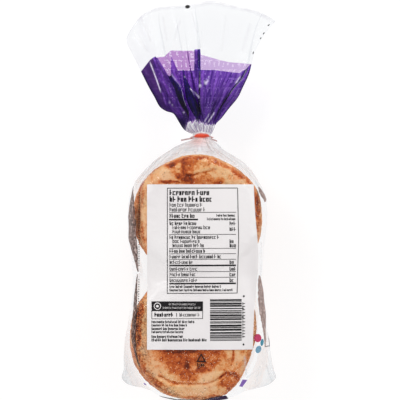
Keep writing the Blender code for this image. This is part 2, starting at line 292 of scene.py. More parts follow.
def crumb_group():
    """Baked crust: a mask of browning goes in, crust colour, height and roughness come out."""
    group = bpy.data.node_groups.new("baked crust", "ShaderNodeTree")
    face = group.interface
    face.new_socket("Toast", in_out="INPUT", socket_type="NodeSocketFloat")
    face.new_socket("Grit_and_shade", in_out="INPUT", socket_type="NodeSocketFloat")
    face.new_socket("Colour", in_out="OUTPUT", socket_type="NodeSocketColor")
    face.new_socket("Height", in_out="OUTPUT", socket_type="NodeSocketFloat")
    face.new_socket("Roughness", in_out="OUTPUT", socket_type="NodeSocketFloat")
    ins = group.nodes.new("NodeGroupInput")
    outs = group.nodes.new("NodeGroupOutput")
    coords = place(group)
    blotch = grain(group, 95, 3, 0.6, coords)
    cloud = grain(group, 190, 3, 0.6, coords)
    mottle = grain(group, 330, 3, 0.65, coords)
    crumbs = grain(group, 640, 2, 0.6, coords)
    fine = grain(group, 1150, 2, 0.7, coords)
    pits = add(group, "ShaderNodeTexVoronoi", {"Scale": 520}, feature="F1")
    group.links.new(coords, pits.inputs["Vector"])
    toast = ins.outputs["Toast"]
    for pattern, share in ((blotch, 0.55), (cloud, 0.55), (mottle, 0.50), (crumbs, 0.55), (fine, 0.62)):
        toast = calc(group, "ADD", toast,
                     calc(group, "MULTIPLY", calc(group, "SUBTRACT", pattern, 0.5), share))
    crust = ramp(group, toast, (
        (0.00, (0.80, 0.50, 0.29)),
        (0.18, (0.77, 0.42, 0.215)),
        (0.34, (0.73, 0.300, 0.115)),
        (0.50, (0.62, 0.172, 0.040)),
        (0.66, (0.46, 0.082, 0.013)),
        (0.82, (0.30, 0.045, 0.006)),
        (1.00, (0.12, 0.016, 0.003))))
    drift = add(group, "ShaderNodeMapRange", {
        "Value": grain(group, 60, 2, 0.5, coords), 1: 0.35, 2: 0.65, 3: 0.0, 4: 1.0}).outputs[0]
    tint = blend_colour(group, drift, (1.0, 0.95, 0.93), (1.0, 1.0, 0.88))
    crust = blend_colour(group, 1.0, crust, tint, "MULTIPLY")
    flour = add(group, "ShaderNodeMapRange", {
        "Value": grain(group, 780, 4, 0.75, coords), 1: 0.62, 2: 0.76, 3: 0.0, 4: 0.55}).outputs[0]
    crust = blend_colour(group, flour, crust, (0.86, 0.68, 0.46))
    pit = add(group, "ShaderNodeMapRange", {
        "Value": pits.outputs["Distance"], 1: 0.10, 2: 0.34, 3: 1.0, 4: 0.0}).outputs[0]
    sparse = add(group, "ShaderNodeMapRange", {
        "Value": mottle, 1: 0.50, 2: 0.60, 3: 0.0, 4: 1.0}).outputs[0]
    pit = calc(group, "MULTIPLY", pit, sparse)
    crust = blend_colour(group, calc(group, "MULTIPLY", pit, 0.74), crust, (0.10, 0.034, 0.016))
    # Where the grit and shade mask is set the crust is darkened to grey-brown: gritty crust, with
    # painted shade at the rims and between the muffins.
    grit = add(group, "ShaderNodeMapRange", {
        "Value": crumbs, 1: 0.42, 2: 0.58, 3: 0.15, 4: 1.0}).outputs[0]
    crust = blend_colour(group, calc(group, "MULTIPLY", ins.outputs["Grit_and_shade"], grit), crust,
                         (0.34, 0.31, 0.36), "MULTIPLY")
    height = calc(group, "ADD", calc(group, "MULTIPLY", mottle, 0.9),
                  calc(group, "MULTIPLY", fine, 0.5))
    height = calc(group, "SUBTRACT", height, calc(group, "MULTIPLY", pit, 0.8))
    rough = add(group, "ShaderNodeMapRange", {
        "Value": toast, 1: 0.1, 2: 0.9, 3: 0.78, 4: 0.52}).outputs[0]
    group.links.new(crust, outs.inputs["Colour"])
    group.links.new(height, outs.inputs["Height"])
    group.links.new(rough, outs.inputs["Roughness"])
    return group


CRUMB = crumb_group()


def crust_finish():
    mat, tree, out = new_material("muffin crust")
    group = tree.nodes.new("ShaderNodeGroup")
    group.node_tree = CRUMB
    tree.links.new(value_of(tree, "toast"), group.inputs["Toast"])
    tree.links.new(value_of(tree, "grit_and_shade"), group.inputs["Grit_and_shade"])
    bump = add(tree, "ShaderNodeBump", {
        "Strength": 0.55, "Distance": 0.0009, "Height": group.outputs["Height"]})
    shader = add(tree, "ShaderNodeBsdfPrincipled", {
        "Base Color": group.outputs["Colour"],
        "Roughness": group.outputs["Roughness"],
        "Normal": bump.outputs[0],
        "Specular IOR Level": 0.14})
    tree.links.new(shader.outputs[0], out.inputs[0])
    return mat


def film_shaders(tree, out, colour, milk_glint_and_shade, haze_and_glints, height, gloss=0.26):
    """Thin film: see-through, milky where it is creased, and glossy; its haze also carries painted
    glints and highlights.
    """
    bump = add(tree, "ShaderNodeBump", {"Strength": 0.10, "Distance": 0.0006, "Height": height})
    clear = add(tree, "ShaderNodeBsdfTransparent")
    cloud = add(tree, "ShaderNodeBsdfPrincipled", {
        "Roughness": 0.42, "Specular IOR Level": 0.4, "Normal": bump.outputs[0]})
    shine = add(tree, "ShaderNodeBsdfGlossy", {"Roughness": 0.07, "Normal": bump.outputs[0]})
    shine.inputs["Color"].default_value = (0.95, 0.95, 0.96, 1)
    for socket, value in ((clear.inputs["Color"], colour), (cloud.inputs["Base Color"], milk_glint_and_shade)):
        if hasattr(value, "links"):
            tree.links.new(value, socket)
        else:
            socket.default_value = (*value, 1)
    body = add(tree, "ShaderNodeMixShader", {0: haze_and_glints, 1: clear.outputs[0], 2: cloud.outputs[0]})
    fresnel = add(tree, "ShaderNodeFresnel", {"IOR": 1.45, "Normal": bump.outputs[0]})
    sheen = calc(tree, "MINIMUM", calc(tree, "MULTIPLY", fresnel.outputs[0], gloss),
                 0.55 * gloss)
    both = add(tree, "ShaderNodeMixShader", {
        0: sheen, 1: body.outputs[0], 2: shine.outputs[0]})
    tree.links.new(both.outputs[0], out.inputs[0])


def uneven(tree, haze_and_glints, coords):
    return calc(tree, "MULTIPLY", haze_and_glints, add(tree, "ShaderNodeMapRange", {
        "Value": grain(tree, 260, 4, 0.6, coords), 1: 0.35, 2: 0.65, 3: 0.78, 4: 1.22}).outputs[0])


def clear_film_finish():
    mat, tree, out = new_material("clear film")
    coords = place(tree)
    # The haze is pale white, and a darker grey along the streaks: painted shade in the pleats near the
    # neck, the grey of the doubled ears, and the crease and glint lines. It is pinkish just below the
    # tie.
    streak = value_of(tree, "streak")
    milk_glint_and_shade = blend_colour(tree, streak, (0.88, 0.915, 0.935), (0.51, 0.555, 0.595))
    milk_glint_and_shade = blend_colour(tree, value_of(tree, "tint_and_facet_shade"), milk_glint_and_shade, (0.86, 0.44, 0.38))
    film_shaders(tree, out, (0.976, 0.985, 0.990), milk_glint_and_shade,
                 uneven(tree, value_of(tree, "haze_and_glints"), coords), grain(tree, 120, 2, 0.5, coords))
    return mat


def printed_film_finish():
    """The fan's film: clear towards its mouth, printed with a sheer purple band below."""
    mat, tree, out = new_material("printed film")
    coords = place(tree)
    uv = add(tree, "ShaderNodeUVMap", uv_map="film").outputs[0]
    printed = calc(tree, "GREATER_THAN", value_of(tree, "ink"), 0.0)
    bars = add(tree, "ShaderNodeTexBrick", {
        "Vector": uv, "Scale": 1.0, "Mortar Size": 0.75, "Mortar Smooth": 0.1,
        "Brick Width": 4.2, "Row Height": 7.4}, offset=0.37)
    broken = calc(tree, "GREATER_THAN", grain(tree, 0.27, 1, 0.5, uv), 0.48)
    bands = calc(tree, "GREATER_THAN", calc(tree, "FRACT", calc(
        tree, "MULTIPLY", add(tree, "ShaderNodeSeparateXYZ", {0: uv}).outputs[1], 1 / 7.4)), 0.26)
    chipped = calc(tree, "GREATER_THAN", grain(tree, 0.95, 1, 0.5, uv), 0.45)
    marks = calc(tree, "MULTIPLY", calc(tree, "MULTIPLY", bars.outputs["Fac"], broken),
                 calc(tree, "MULTIPLY", bands, chipped))
    # Painted light and shade of the fan's radial folds: the front ink runs from dark to light purple in
    # streaks drawn out along the fan.
    drawn = add(tree, "ShaderNodeMapping", {"Vector": uv, "Scale": (0.42, 0.045, 1.0)}).outputs[0]
    radial_shade = add(tree, "ShaderNodeMapRange", {
        "Value": grain(tree, 1.0, 3, 0.62, drawn), 1: 0.38, 2: 0.62, 3: 0.0, 4: 1.0}).outputs[0]
    back = blend_colour(tree, value_of(tree, "tint_and_facet_shade"), (0.62, 0.45, 0.74), (0.52, 0.285, 0.62))
    back = blend_colour(tree, calc(tree, "MULTIPLY", marks, 0.72), back, (0.86, 0.72, 0.93))
    front = blend_colour(tree, radial_shade, (0.068, 0.017, 0.270), (0.365, 0.180, 0.730))
    front = blend_colour(tree, calc(tree, "MULTIPLY", marks, 0.65), front, (0.56, 0.42, 0.88))
    # On the front this value paints the facet at the fan's left duller and darker, as shade; on the
    # back, above, it tints the print pinker.
    front = blend_colour(tree, calc(tree, "MULTIPLY", value_of(tree, "tint_and_facet_shade"), 0.80), front,
                         (0.100, 0.044, 0.170))
    full = blend_colour(tree, value_of(tree, "dense"), back, front)
    full = blend_colour(tree, value_of(tree, "shade"), full, (0.036, 0.005, 0.128))
    colour = blend_colour(tree, printed, (0.957, 0.962, 0.967), full)
    # Along the pleats of the gathered neck the clear film's haze is a dark grey-purple: painted shade
    # in the pleats. On the print the haze is lilac.
    streak = value_of(tree, "streak")
    pale = blend_colour(tree, streak, (0.88, 0.875, 0.90), (0.26, 0.20, 0.34))
    milk_glint_and_shade = blend_colour(tree, printed, pale, (0.84, 0.76, 0.96))
    film_shaders(tree, out, colour, milk_glint_and_shade, uneven(tree, value_of(tree, "haze_and_glints"), coords),
                 grain(tree, 120, 2, 0.5, coords), gloss=0.07)
    return mat


def ink_finish(name, colour, rough=0.4, vary=0.04):
    """Ink printed on the film: a flat colour with the faint unevenness of a print."""
    mat, tree, out = new_material(name)
    low = tuple(max(0.0, c * (1 - vary)) for c in colour)
    high = tuple(min(1.0, c * (1 + vary)) for c in colour)
    tone = blend_colour(tree, grain(tree, 70, 2, 0.5), low, high)
    bump = add(tree, "ShaderNodeBump", {
        "Strength": 0.06, "Distance": 0.0004, "Height": grain(tree, 300, 2, 0.5)})
    shader = add(tree, "ShaderNodeBsdfPrincipled", {
        "Base Color": tone, "Roughness": rough, "Specular IOR Level": 0.2,
        "Normal": bump.outputs[0]})
    tree.links.new(shader.outputs[0], out.inputs[0])
    return mat


def label_finish():
    """The white panel, with the soft wide gloss of stretched film, and its few faint waves painted into
    the white as lighter and darker shading.
    """
    mat, tree, out = new_material("white label ink")
    coords = place(tree)
    stretched = add(tree, "ShaderNodeMapping", {"Vector": coords, "Scale": (1.0, 0.35, 1.0)})
    # Painted shading of the faint waves: the white is lighter and darker along them.
    wave = grain(tree, 34, 2, 0.5, stretched.outputs[0])
    tone = ramp(tree, wave, ((0.30, (0.735, 0.700, 0.700)), (0.50, (0.785, 0.755, 0.750)),
                             (0.72, (0.800, 0.775, 0.770))))
    bump = add(tree, "ShaderNodeBump", {
        "Strength": 0.10, "Distance": 0.0006, "Height": grain(tree, 60, 3, 0.5, coords)})
    shader = add(tree, "ShaderNodeBsdfPrincipled", {
        "Base Color": tone, "Roughness": 0.36, "Specular IOR Level": 0.3,
        "Normal": bump.outputs[0]})
    tree.links.new(shader.outputs[0], out.inputs[0])
    return mat


def strip_finish():
    """Small dark print running along the bag's side, drawn out in lines, on a dull ground."""
    mat, tree, out = new_material("side print ink")
    uv = add(tree, "ShaderNodeUVMap", uv_map="film").outputs[0]
    lines = add(tree, "ShaderNodeMapping", {"Vector": uv, "Scale": (0.20, 0.62, 1.0)}).outputs[0]
    letters = add(tree, "ShaderNodeMapping", {"Vector": uv, "Scale": (0.62, 0.50, 1.0)}).outputs[0]
    print_mask = calc(tree, "ADD", calc(tree, "MULTIPLY", grain(tree, 1.0, 2, 0.6, lines), 0.5),
                      calc(tree, "MULTIPLY", grain(tree, 1.0, 2, 0.6, letters), 0.5))
    tone = ramp(tree, print_mask, ((0.43, (0.018, 0.008, 0.007)), (0.50, (0.070, 0.036, 0.030)),
                                   (0.57, (0.290, 0.175, 0.150)), (0.65, (0.600, 0.450, 0.400))))
    tone = blend_colour(tree, value_of(tree, "pale"), tone, (0.60, 0.43, 0.38))
    cover = add(tree, "ShaderNodeMapRange", {
        "Value": print_mask, 1: 0.48, 2: 0.64, 3: 0.96, 4: 0.66}).outputs[0]
    shader = add(tree, "ShaderNodeBsdfPrincipled", {
        "Base Color": tone, "Roughness": 0.65, "Specular IOR Level": 0.06, "Alpha": cover})
    tree.links.new(shader.outputs[0], out.inputs[0])
    return mat


def thin_ink_finish(name, colour, cover):
    """Ink thin enough to see through: it tints what lies behind it."""
    mat, tree, out = new_material(name)
    speck = grain(tree, 1400, 2, 0.6)
    share = add(tree, "ShaderNodeMapRange", {
        "Value": speck, 1: 0.38, 2: 0.62, 3: cover * 0.7, 4: min(1.0, cover * 1.25)}).outputs[0]
    tint = add(tree, "ShaderNodeBsdfTransparent")
    tint.inputs["Color"].default_value = (*colour, 1)
    solid = add(tree, "ShaderNodeBsdfPrincipled", {
        "Base Color": (*colour, 1), "Roughness": 0.4, "Specular IOR Level": 0.3})
    both = add(tree, "ShaderNodeMixShader", {0: share, 1: tint.outputs[0], 2: solid.outputs[0]})
    tree.links.new(both.outputs[0], out.inputs[0])
    return mat


# ================================================================ muffins
# The muffins as they lie: middle (across, along), level in the stack, seed, browning of the
# side, and the outline's reach every 30 degrees from the right, anticlockwise.
MUFFINS = (
    ("muffin_tied_top", 0.0, -11.5, 2, 11, 0.26,
     (46.8, 46.8, 44.6, 46.0, 47.0, 49.0, 45.0, 49.6, 48.0, 45.5, 46.2, 48.4)),
    ("muffin_tied_middle", -6.3, -12.6, 1, 12, 0.42,
     (45.4, 45.6, 45.2, 45.4, 45.6, 45.9, 45.5, 45.4, 45.2, 45.4, 45.6, 45.5)),
    ("muffin_tied_bottom", -7.0, -12.4, 0, 13, 0.36,
     (45.5, 45.2, 45.6, 45.3, 45.2, 45.6, 45.2, 45.6, 45.4, 45.2, 45.5, 45.3)),
    ("muffin_end_top", -4.5, -101.5, 2, 14, 0.36,
     (46.6, 49.4, 45.6, 45.0, 48.0, 48.0, 45.6, 47.0, 49.6, 48.6, 50.6, 46.0)),
    ("muffin_end_middle", -7.0, -102.6, 1, 15, 0.42,
     (45.4, 46.6, 45.4, 45.2, 46.4, 46.8, 46.4, 48.8, 49.8, 49.0, 50.0, 46.0)),
    ("muffin_end_bottom", -6.4, -102.2, 0, 16, 0.34,
     (45.2, 45.6, 45.3, 45.4, 45.8, 46.4, 45.6, 47.4, 48.4, 47.4, 48.0, 45.6)),
)

# Griddle browning on the two muffins on top: middle (across, along), reach, turn, strength.
TIED_TOP_BROWNING = (
    (-15.0, 30.4, 12.0, 3.0, 0.12, 0.70), (-3.0, 32.0, 9.0, 2.4, 0.0, 0.68),
    (-21.5, 27.2, 6.0, 3.0, 0.40, 0.72), (-8.0, 28.0, 6.0, 4.4, 0.0, 0.62),
    (-12.4, 22.6, 2.8, 8.4, 0.05, 0.82), (-14.6, 17.5, 4.4, 2.8, 0.1, 0.84),
    (-9.2, 15.6, 5.4, 4.4, 0.0, 0.90), (-7.5, 23.6, 3.4, 4.4, 0.0, 0.52),
    (-1.0, 15.2, 8.0, 3.6, 0.1, 0.50), (3.5, 17.6, 5.0, 2.6, 0.2, 0.42),
    (12.0, 14.4, 7.5, 3.0, 0.1, 0.50), (13.2, 12.9, 4.6, 1.8, 0.1, 0.70),
    (-22.4, 12.8, 10.5, 1.4, 0.0, 0.90), (-33.0, 16.0, 6.0, 7.0, 0.6, 0.34),
    (13.4, 29.4, 5.6, 3.0, -0.25, 0.66), (20.6, 26.6, 5.6, 3.0, -0.45, 0.64),
    (27.6, 23.0, 4.8, 3.4, -0.6, 0.74), (32.4, 18.9, 4.6, 3.2, -0.8, 0.70),
    (37.4, 14.4, 4.6, 3.0, -0.85, 0.70), (5.5, 32.4, 8.0, 2.0, -0.10, 0.56),
    (27.0, 24.0, 16.0, 2.2, -0.60, 0.52), (38.0, 13.0, 8.0, 2.6, -0.9, 0.60),
    (-20.0, 20.0, 5.0, 6.5, 0.0, 0.33), (-3.5, 24.5, 5.0, 3.0, 0.1, 0.36),
    (26.0, 15.5, 7.0, 3.4, -0.2, 0.34), (2.0, 26.5, 6.0, 3.0, 0.0, 0.40),
    (-5.0, 6.0, 22.0, 8.0, 0.0, 0.60), (4.0, -14.0, 24.0, 15.0, 0.4, 0.60),
    (-20.0, -32.0, 12.0, 8.0, 0.0, 0.50), (44.0, 2.0, 3.6, 9.0, 0.05, 0.82),
    (44.0, -10.0, 3.4, 8.0, 0.0, 0.70), (44.0, -21.0, 4.4, 6.0, 0.1, 0.42),
    (-44.6, 3.0, 3.0, 8.0, -0.1, 0.46), (-44.6, -26.0, 3.4, 12.0, 0.15, 0.50),
)
END_TOP_BROWNING = (
    (-13.0, -116.5, 20.0, 7.0, 0.0, 0.66), (-17.0, -123.0, 12.0, 8.0, -0.4, 0.64),
    (-9.5, -130.5, 8.5, 6.4, -0.2, 0.66), (6.0, -117.5, 13.0, 8.0, 0.15, 0.64),
    (7.0, -125.5, 6.0, 5.0, 0.3, 0.50), (-25.0, -117.0, 6.5, 5.5, 0.0, 0.62),
    (-8.6, -132.4, 5.4, 4.0, 0.0, 0.72), (-13.5, -121.0, 6.0, 4.6, 0.0, 0.74),
    (0.6, -126.4, 4.6, 2.8, 0.2, 0.78), (-10.1, -124.2, 2.8, 2.4, 0.0, 0.90),
    (10.5, -115.0, 5.0, 3.0, 0.0, 0.72), (-15.7, -112.7, 16.0, 2.1, 0.0, 0.88),
    (21.7, -134.6, 9.5, 6.0, 0.15, 0.64), (25.0, -131.4, 5.0, 3.2, -0.3, 0.74),
    (27.0, -136.0, 3.6, 4.0, 0.0, 0.72), (23.0, -140.6, 5.0, 3.0, 0.4, 0.58),
    (-31.5, -138.6, 3.6, 4.2, 0.3, 0.66), (18.0, -123.7, 6.8, 5.4, 0.0, 0.38),
    (25.5, -116.0, 1.2, 5.0, 0.05, 0.60), (-30.0, -127.0, 4.0, 7.0, 0.5, 0.34),
    (-3.0, -98.0, 26.0, 14.0, 0.2, 0.58), (6.0, -76.0, 16.0, 8.0, 0.0, 0.50),
    (-47.0, -82.0, 4.5, 12.0, 0.1, 0.66), (-48.0, -101.0, 4.0, 14.0, 0.0, 0.62),
    (-38.0, -132.0, 2.4, 9.0, 0.75, 0.46), (-26.0, -142.5, 8.0, 2.0, -0.45, 0.46),
    (-45.0, -122.0, 4.0, 10.0, 0.35, 0.56), (-10.0, -148.0, 14.0, 1.6, 0.05, 0.50),
    (12.0, -147.0, 14.0, 1.8, 0.10, 0.48), (43.5, -88.0, 2.6, 9.0, 0.0, 0.42),
    (26.0, -141.0, 7.0, 2.2, 0.6, 0.50),
    (38.6, -116.0, 3.2, 9.0, -0.2, 0.48),
)
# Paler spots on the crust of the top muffins; those at (-29, 19) and (-45, -10) are painted highlights
# of the film over it: middle (across, along), reach, turn, strength.
PALE_AND_HIGHLIGHT_PATCHES = (
    (-29.0, 19.0, 6.0, 6.5, 0.0, 0.20), (9.0, -132.0, 9.0, 4.2, 0.35, 0.20),
    (20.0, 19.5, 8.0, 5.0, -0.3, 0.08), (-8.0, -141.5, 22.0, 3.2, 0.05, 0.12),
    (-29.0, -127.0, 6.0, 7.0, 0.6, 0.08), (-45.0, -10.0, 4.0, 5.0, 0.0, 0.22),
    (-45.0, -33.0, 4.0, 3.0, 0.0, 0.14),
)
# Where the crust of the top muffins is darkened to grey-brown rather than golden: gritty crust, and
# painted shade at the edges that round down.
GRIT_AND_SHADE_PATCHES = (
    (-47.0, -88.0, 7.5, 20.0, 0.0, 0.95), (-46.5, -112.0, 7.0, 12.0, 0.3, 0.85),
    (-36.0, -133.0, 3.6, 12.0, 0.75, 0.70), (-24.0, -143.5, 12.0, 3.0, -0.45, 0.75),
    (4.0, -149.0, 22.0, 2.6, 0.05, 0.80), (26.0, -142.0, 9.0, 3.0, 0.6, 0.70),
    (38.5, -122.0, 3.6, 15.0, -0.35, 0.60), (43.0, -92.0, 3.0, 14.0, 0.0, 0.50),
    (44.5, -2.0, 4.0, 12.0, 0.0, 0.90), (44.5, -22.0, 3.5, 10.0, 0.1, 0.55),
    (-45.0, 2.0, 4.0, 9.0, -0.1, 0.55), (-45.5, -26.0, 4.0, 12.0, 0.1, 0.60),
    (-34.0, 24.0, 2.4, 12.0, -0.85, 0.40), (30.0, 23.0, 2.2, 14.0, 0.85, 0.35),
)
# Creases pressed into the top faces: points along them, width, depth, and how far the
# crust is pushed up beyond them.
TIED_TOP_CREASES = (
    (((-12.2, 18.6), (-7.5, 18.2), (-2.0, 19.4), (4.5, 21.0), (11.7, 23.0)), 0.85, 1.5, 0.6),
    (((8.0, 30.4), (18.0, 26.0), (27.0, 20.4), (33.5, 13.0)), 2.0, 0.8, 0.5),
)
END_TOP_CREASES = (
    (((-30.0, -131.8), (-26.2, -133.5), (-22.5, -135.6), (-18.0, -136.8), (-11.0, -137.3),
      (-3.7, -137.5), (3.7, -137.4), (9.0, -136.0), (14.0, -133.4), (19.4, -129.0)),
     1.0, 1.7, 1.0),
    (((25.0, -111.5), (25.2, -116.6), (24.0, -121.6)), 0.8, 0.9, 0.2),
)


def segment_distance(px, py, points):
    """Distance from a point to a line of points, and on which side of it the point lies."""
    best = 1e9
    side = 0.0
    for (ax, ay), (bx, by) in zip(points, points[1:]):
        dx = bx - ax
        dy = by - ay
        t = max(0.0, min(1.0, ((px - ax) * dx + (py - ay) * dy) / (dx * dx + dy * dy)))
        gap = math.hypot(px - ax - t * dx, py - ay - t * dy)
        if gap < best:
            best = gap
            side = dx * (py - ay) - dy * (px - ax)
    return best, side


def patch_value(px, py, patches, start=1.9, stop=0.35):
    total = 0.0
    for x, y, rx, ry, turn, strength in patches:
        dx = px - x
        dy = py - y
        if abs(dx) > 1.5 * (rx + ry) or abs(dy) > 1.5 * (rx + ry):
            continue
        c = math.cos(turn)
        s = math.sin(turn)
        u = (dx * c + dy * s) / rx
        v = (-dx * s + dy * c) / ry
        total = max(total, strength * ease(start, stop, u * u + v * v))
    return total


def reach_at(reaches, a):
    """Reach of an outline at an angle, by a smooth curve through its even steps."""
    count = len(reaches)
    place_on = (a / (2 * math.pi)) % 1.0 * count
    k = int(place_on)
    s = place_on - k
    p0, p1, p2, p3 = (reaches[(k + i) % count] for i in (-1, 0, 1, 2))
    return 0.5 * (2 * p1 + (p2 - p0) * s + (2 * p0 - 5 * p1 + 4 * p2 - p3) * s * s
                  + (3 * p1 - p0 - 3 * p2 + p3) * s ** 3)


def raw_muffin(voxel):
    """One muffin at the origin: a rounded cake with an even skin of small quads."""
    deselect()
    bpy.ops.mesh.primitive_cylinder_add(vertices=96, radius=RADIUS * MM,
                                        depth=(MUFFIN_THICK - 0.9) * MM, location=(0, 0, 0))
    cake = bpy.context.object
    edge = cake.modifiers.new("round edge", "BEVEL")
    edge.width = 8.6 * MM
    edge.segments = 7
    edge.limit_method = "ANGLE"
    edge.angle_limit = math.radians(50)
    finish_modifier(cake, edge)
    skin = cake.modifiers.new("even skin", "REMESH")
    skin.mode = "VOXEL"
    skin.voxel_size = voxel * MM
    finish_modifier(cake, skin)
    return cake


def sculpt_muffin(cake, x0, y0, level, seed, side_brown, reaches, browning, creases):
    """Push the skin of one muffin into its own uneven shape, and work out its browning."""
    z0 = (level + 0.5) * MUFFIN_THICK
    offset = Vector((seed * 7.3, seed * 3.1, seed * 1.7))
    toast = []
    grit_and_shade = []
    half = MUFFIN_THICK / 2 - 0.45
    for vert in cake.data.vertices:
        x, y, z = vert.co / MM
        r = math.hypot(x, y)
        a = math.atan2(y, x)
        rim = ease(0.30, 1.0, r / RADIUS)
        grow = mix(1.0, reach_at(reaches, a) / RADIUS, rim)
        up = z / half
        grow *= 1 + 0.012 * (1 - up * up) * rim - 0.014 * rim
        x *= grow
        y *= grow
        wx = x + x0
        wy = y + y0
        spot = Vector((x, y, z)) * 0.05 + offset
        wave = noise.noise(spot) * 0.9 + noise.noise(spot * 3.1) * 0.45
        rough = noise.fractal(Vector((x, y, z)) * 0.42 + offset, 0.8, 2.1, 3)
        knobs = abs(noise.noise(Vector((x, y, z)) * 0.30 + offset * 3.0))
        flat = ease(0.75, 0.98, abs(up)) * (1 - ease(0.82, 0.95, r / RADIUS))
        normal = Vector((x, y, 0)).normalized() * (1 - flat) if r > 1 else Vector()
        normal.z = math.copysign(mix(abs(up) * 0.6, 1.0, flat), up)
        push = wave * mix(0.55, 0.34, flat) + rough * mix(0.42, 0.24, flat) - knobs * 0.9
        lip = ease(0.74, 0.82, r / RADIUS) * (1 - ease(0.84, 0.92, r / RADIUS))
        if abs(up) > 0.8:
            push -= 0.8 * lip * (0.4 + 0.9 * noise.noise(Vector((a * 1.4, up, seed))))
        dark_line = 0.0
        if up > 0.5:
            for points, width, depth, lift in creases:
                gap, where = segment_distance(wx, wy, points)
                if gap < width * 5:
                    push -= depth * math.exp(-(gap / width) ** 2)
                    push += lift * math.exp(-((gap - 2.2 * width) / (1.5 * width)) ** 2) * (
                        1.0 if where < 0 else 0.35)
                    broken = 0.6 + 0.8 * noise.noise(Vector((wx * 0.3, wy * 0.3, seed)))
                    dark_line = max(dark_line, (0.46 if width < 1.5 else 0.0) * broken
                                    * math.exp(-(gap / (width * 0.75)) ** 2))
        moved = Vector((x, y, z)) + normal * push
        limit = half + 0.10
        moved.z = max(-limit, min(limit, moved.z))
        vert.co = at(moved.x + x0, moved.y + y0, moved.z + z0)
        patch = noise.noise(Vector((x, y, z)) * 0.045 + offset * 2.2)
        if up > 0.3 and browning:
            warp = Vector((wx, wy, 0)) * 0.11
            px = wx + 1.7 * noise.noise(warp + offset) + 0.9 * noise.noise(warp * 3.3 + offset)
            py = wy + 1.7 * noise.noise(warp - offset) + 0.9 * noise.noise(warp * 3.3 - offset)
            brown = max(0.21 + 0.12 * patch, patch_value(px, py, browning, 1.9, 0.15))
            brown -= patch_value(px, py, PALE_AND_HIGHLIGHT_PATCHES)
            brown = mix(brown, side_brown + 0.16 * patch, ease(0.80, 0.45, up))
        else:
            brown = side_brown + 0.22 * patch + 0.25 * flat * max(0.0, 0.3 + patch)
        toast.append(min(1.0, max(0.0, brown + dark_line)))
        # Grit and shade: from patches on the top muffins; on the others darker towards the rim, painted
        # shade between the stacked muffins, with gritty crust.
        if level == 2:
            grit_and_shade.append(patch_value(wx, wy, GRIT_AND_SHADE_PATCHES, 1.9, 0.15) * ease(-0.3, 0.5, up))
        else:
            grit_and_shade.append(0.50 * ease(0.45, 0.85, r / RADIUS) * max(0.0, min(1.0, 0.6 + patch)))
    store(cake, "toast", toast)
    store(cake, "grit_and_shade", grit_and_shade)
    cake.data.shade_smooth()


def make_muffins():
    crust = crust_finish()
    fine = raw_muffin(0.85)
    coarse = raw_muffin(1.3)
    made = []
    for name, x0, y0, level, seed, side_brown, reaches in MUFFINS:
        pattern = fine if level == 2 else coarse
        cake = pattern.copy()
        cake.data = pattern.data.copy()
        bpy.context.scene.collection.objects.link(cake)
        turn = seed * 1.1
        for vert in cake.data.vertices:
            x, y, z = vert.co
            vert.co = (x * math.cos(turn) - y * math.sin(turn),
                       x * math.sin(turn) + y * math.cos(turn), z)
        browning = {"muffin_tied_top": TIED_TOP_BROWNING,
                    "muffin_end_top": END_TOP_BROWNING}.get(name, ())
        creases = {"muffin_tied_top": TIED_TOP_CREASES,
                   "muffin_end_top": END_TOP_CREASES}.get(name, ())
        sculpt_muffin(cake, x0, y0, level, seed, side_brown, reaches, browning, creases)
        made.append(piece(cake, name, crust))
    bpy.data.objects.remove(fine, do_unlink=True)
    bpy.data.objects.remove(coarse, do_unlink=True)
    return made


def grain_finish():
    mat, tree, out = new_material("cornmeal")
    tone = blend_colour(tree, grain(tree, 900, 1, 0.5), (0.86, 0.66, 0.40), (0.95, 0.84, 0.64))
    shader = add(tree, "ShaderNodeBsdfPrincipled", {"Base Color": tone, "Roughness": 0.45})
    tree.links.new(shader.outputs[0], out.inputs[0])
    return mat


# Where the cornmeal sticks: muffin, middle (across, along), reach, how many grains.
CORNMEAL = (
    (3, 8.0, -118.0, 9.0, 60), (3, 24.0, -135.0, 9.0, 90), (3, 24.0, -128.5, 5.0, 34),
    (3, -14.0, -122.0, 16.0, 60), (3, -8.0, -141.0, 22.0, 60), (3, -6.0, -100.0, 30.0, 90),
    (0, -26.0, 18.0, 10.0, 40), (0, 10.0, 24.0, 20.0, 70), (0, 30.0, 16.0, 10.0, 40),
    (0, 0.0, -14.0, 30.0, 90), (0, 43.5, -6.0, 6.0, 40), (1, -45.0, -12.0, 20.0, 50),
    (4, -46.0, -100.0, 26.0, 60), (2, -7.0, 20.0, 30.0, 40), (5, -7.0, -130.0, 30.0, 50),
)


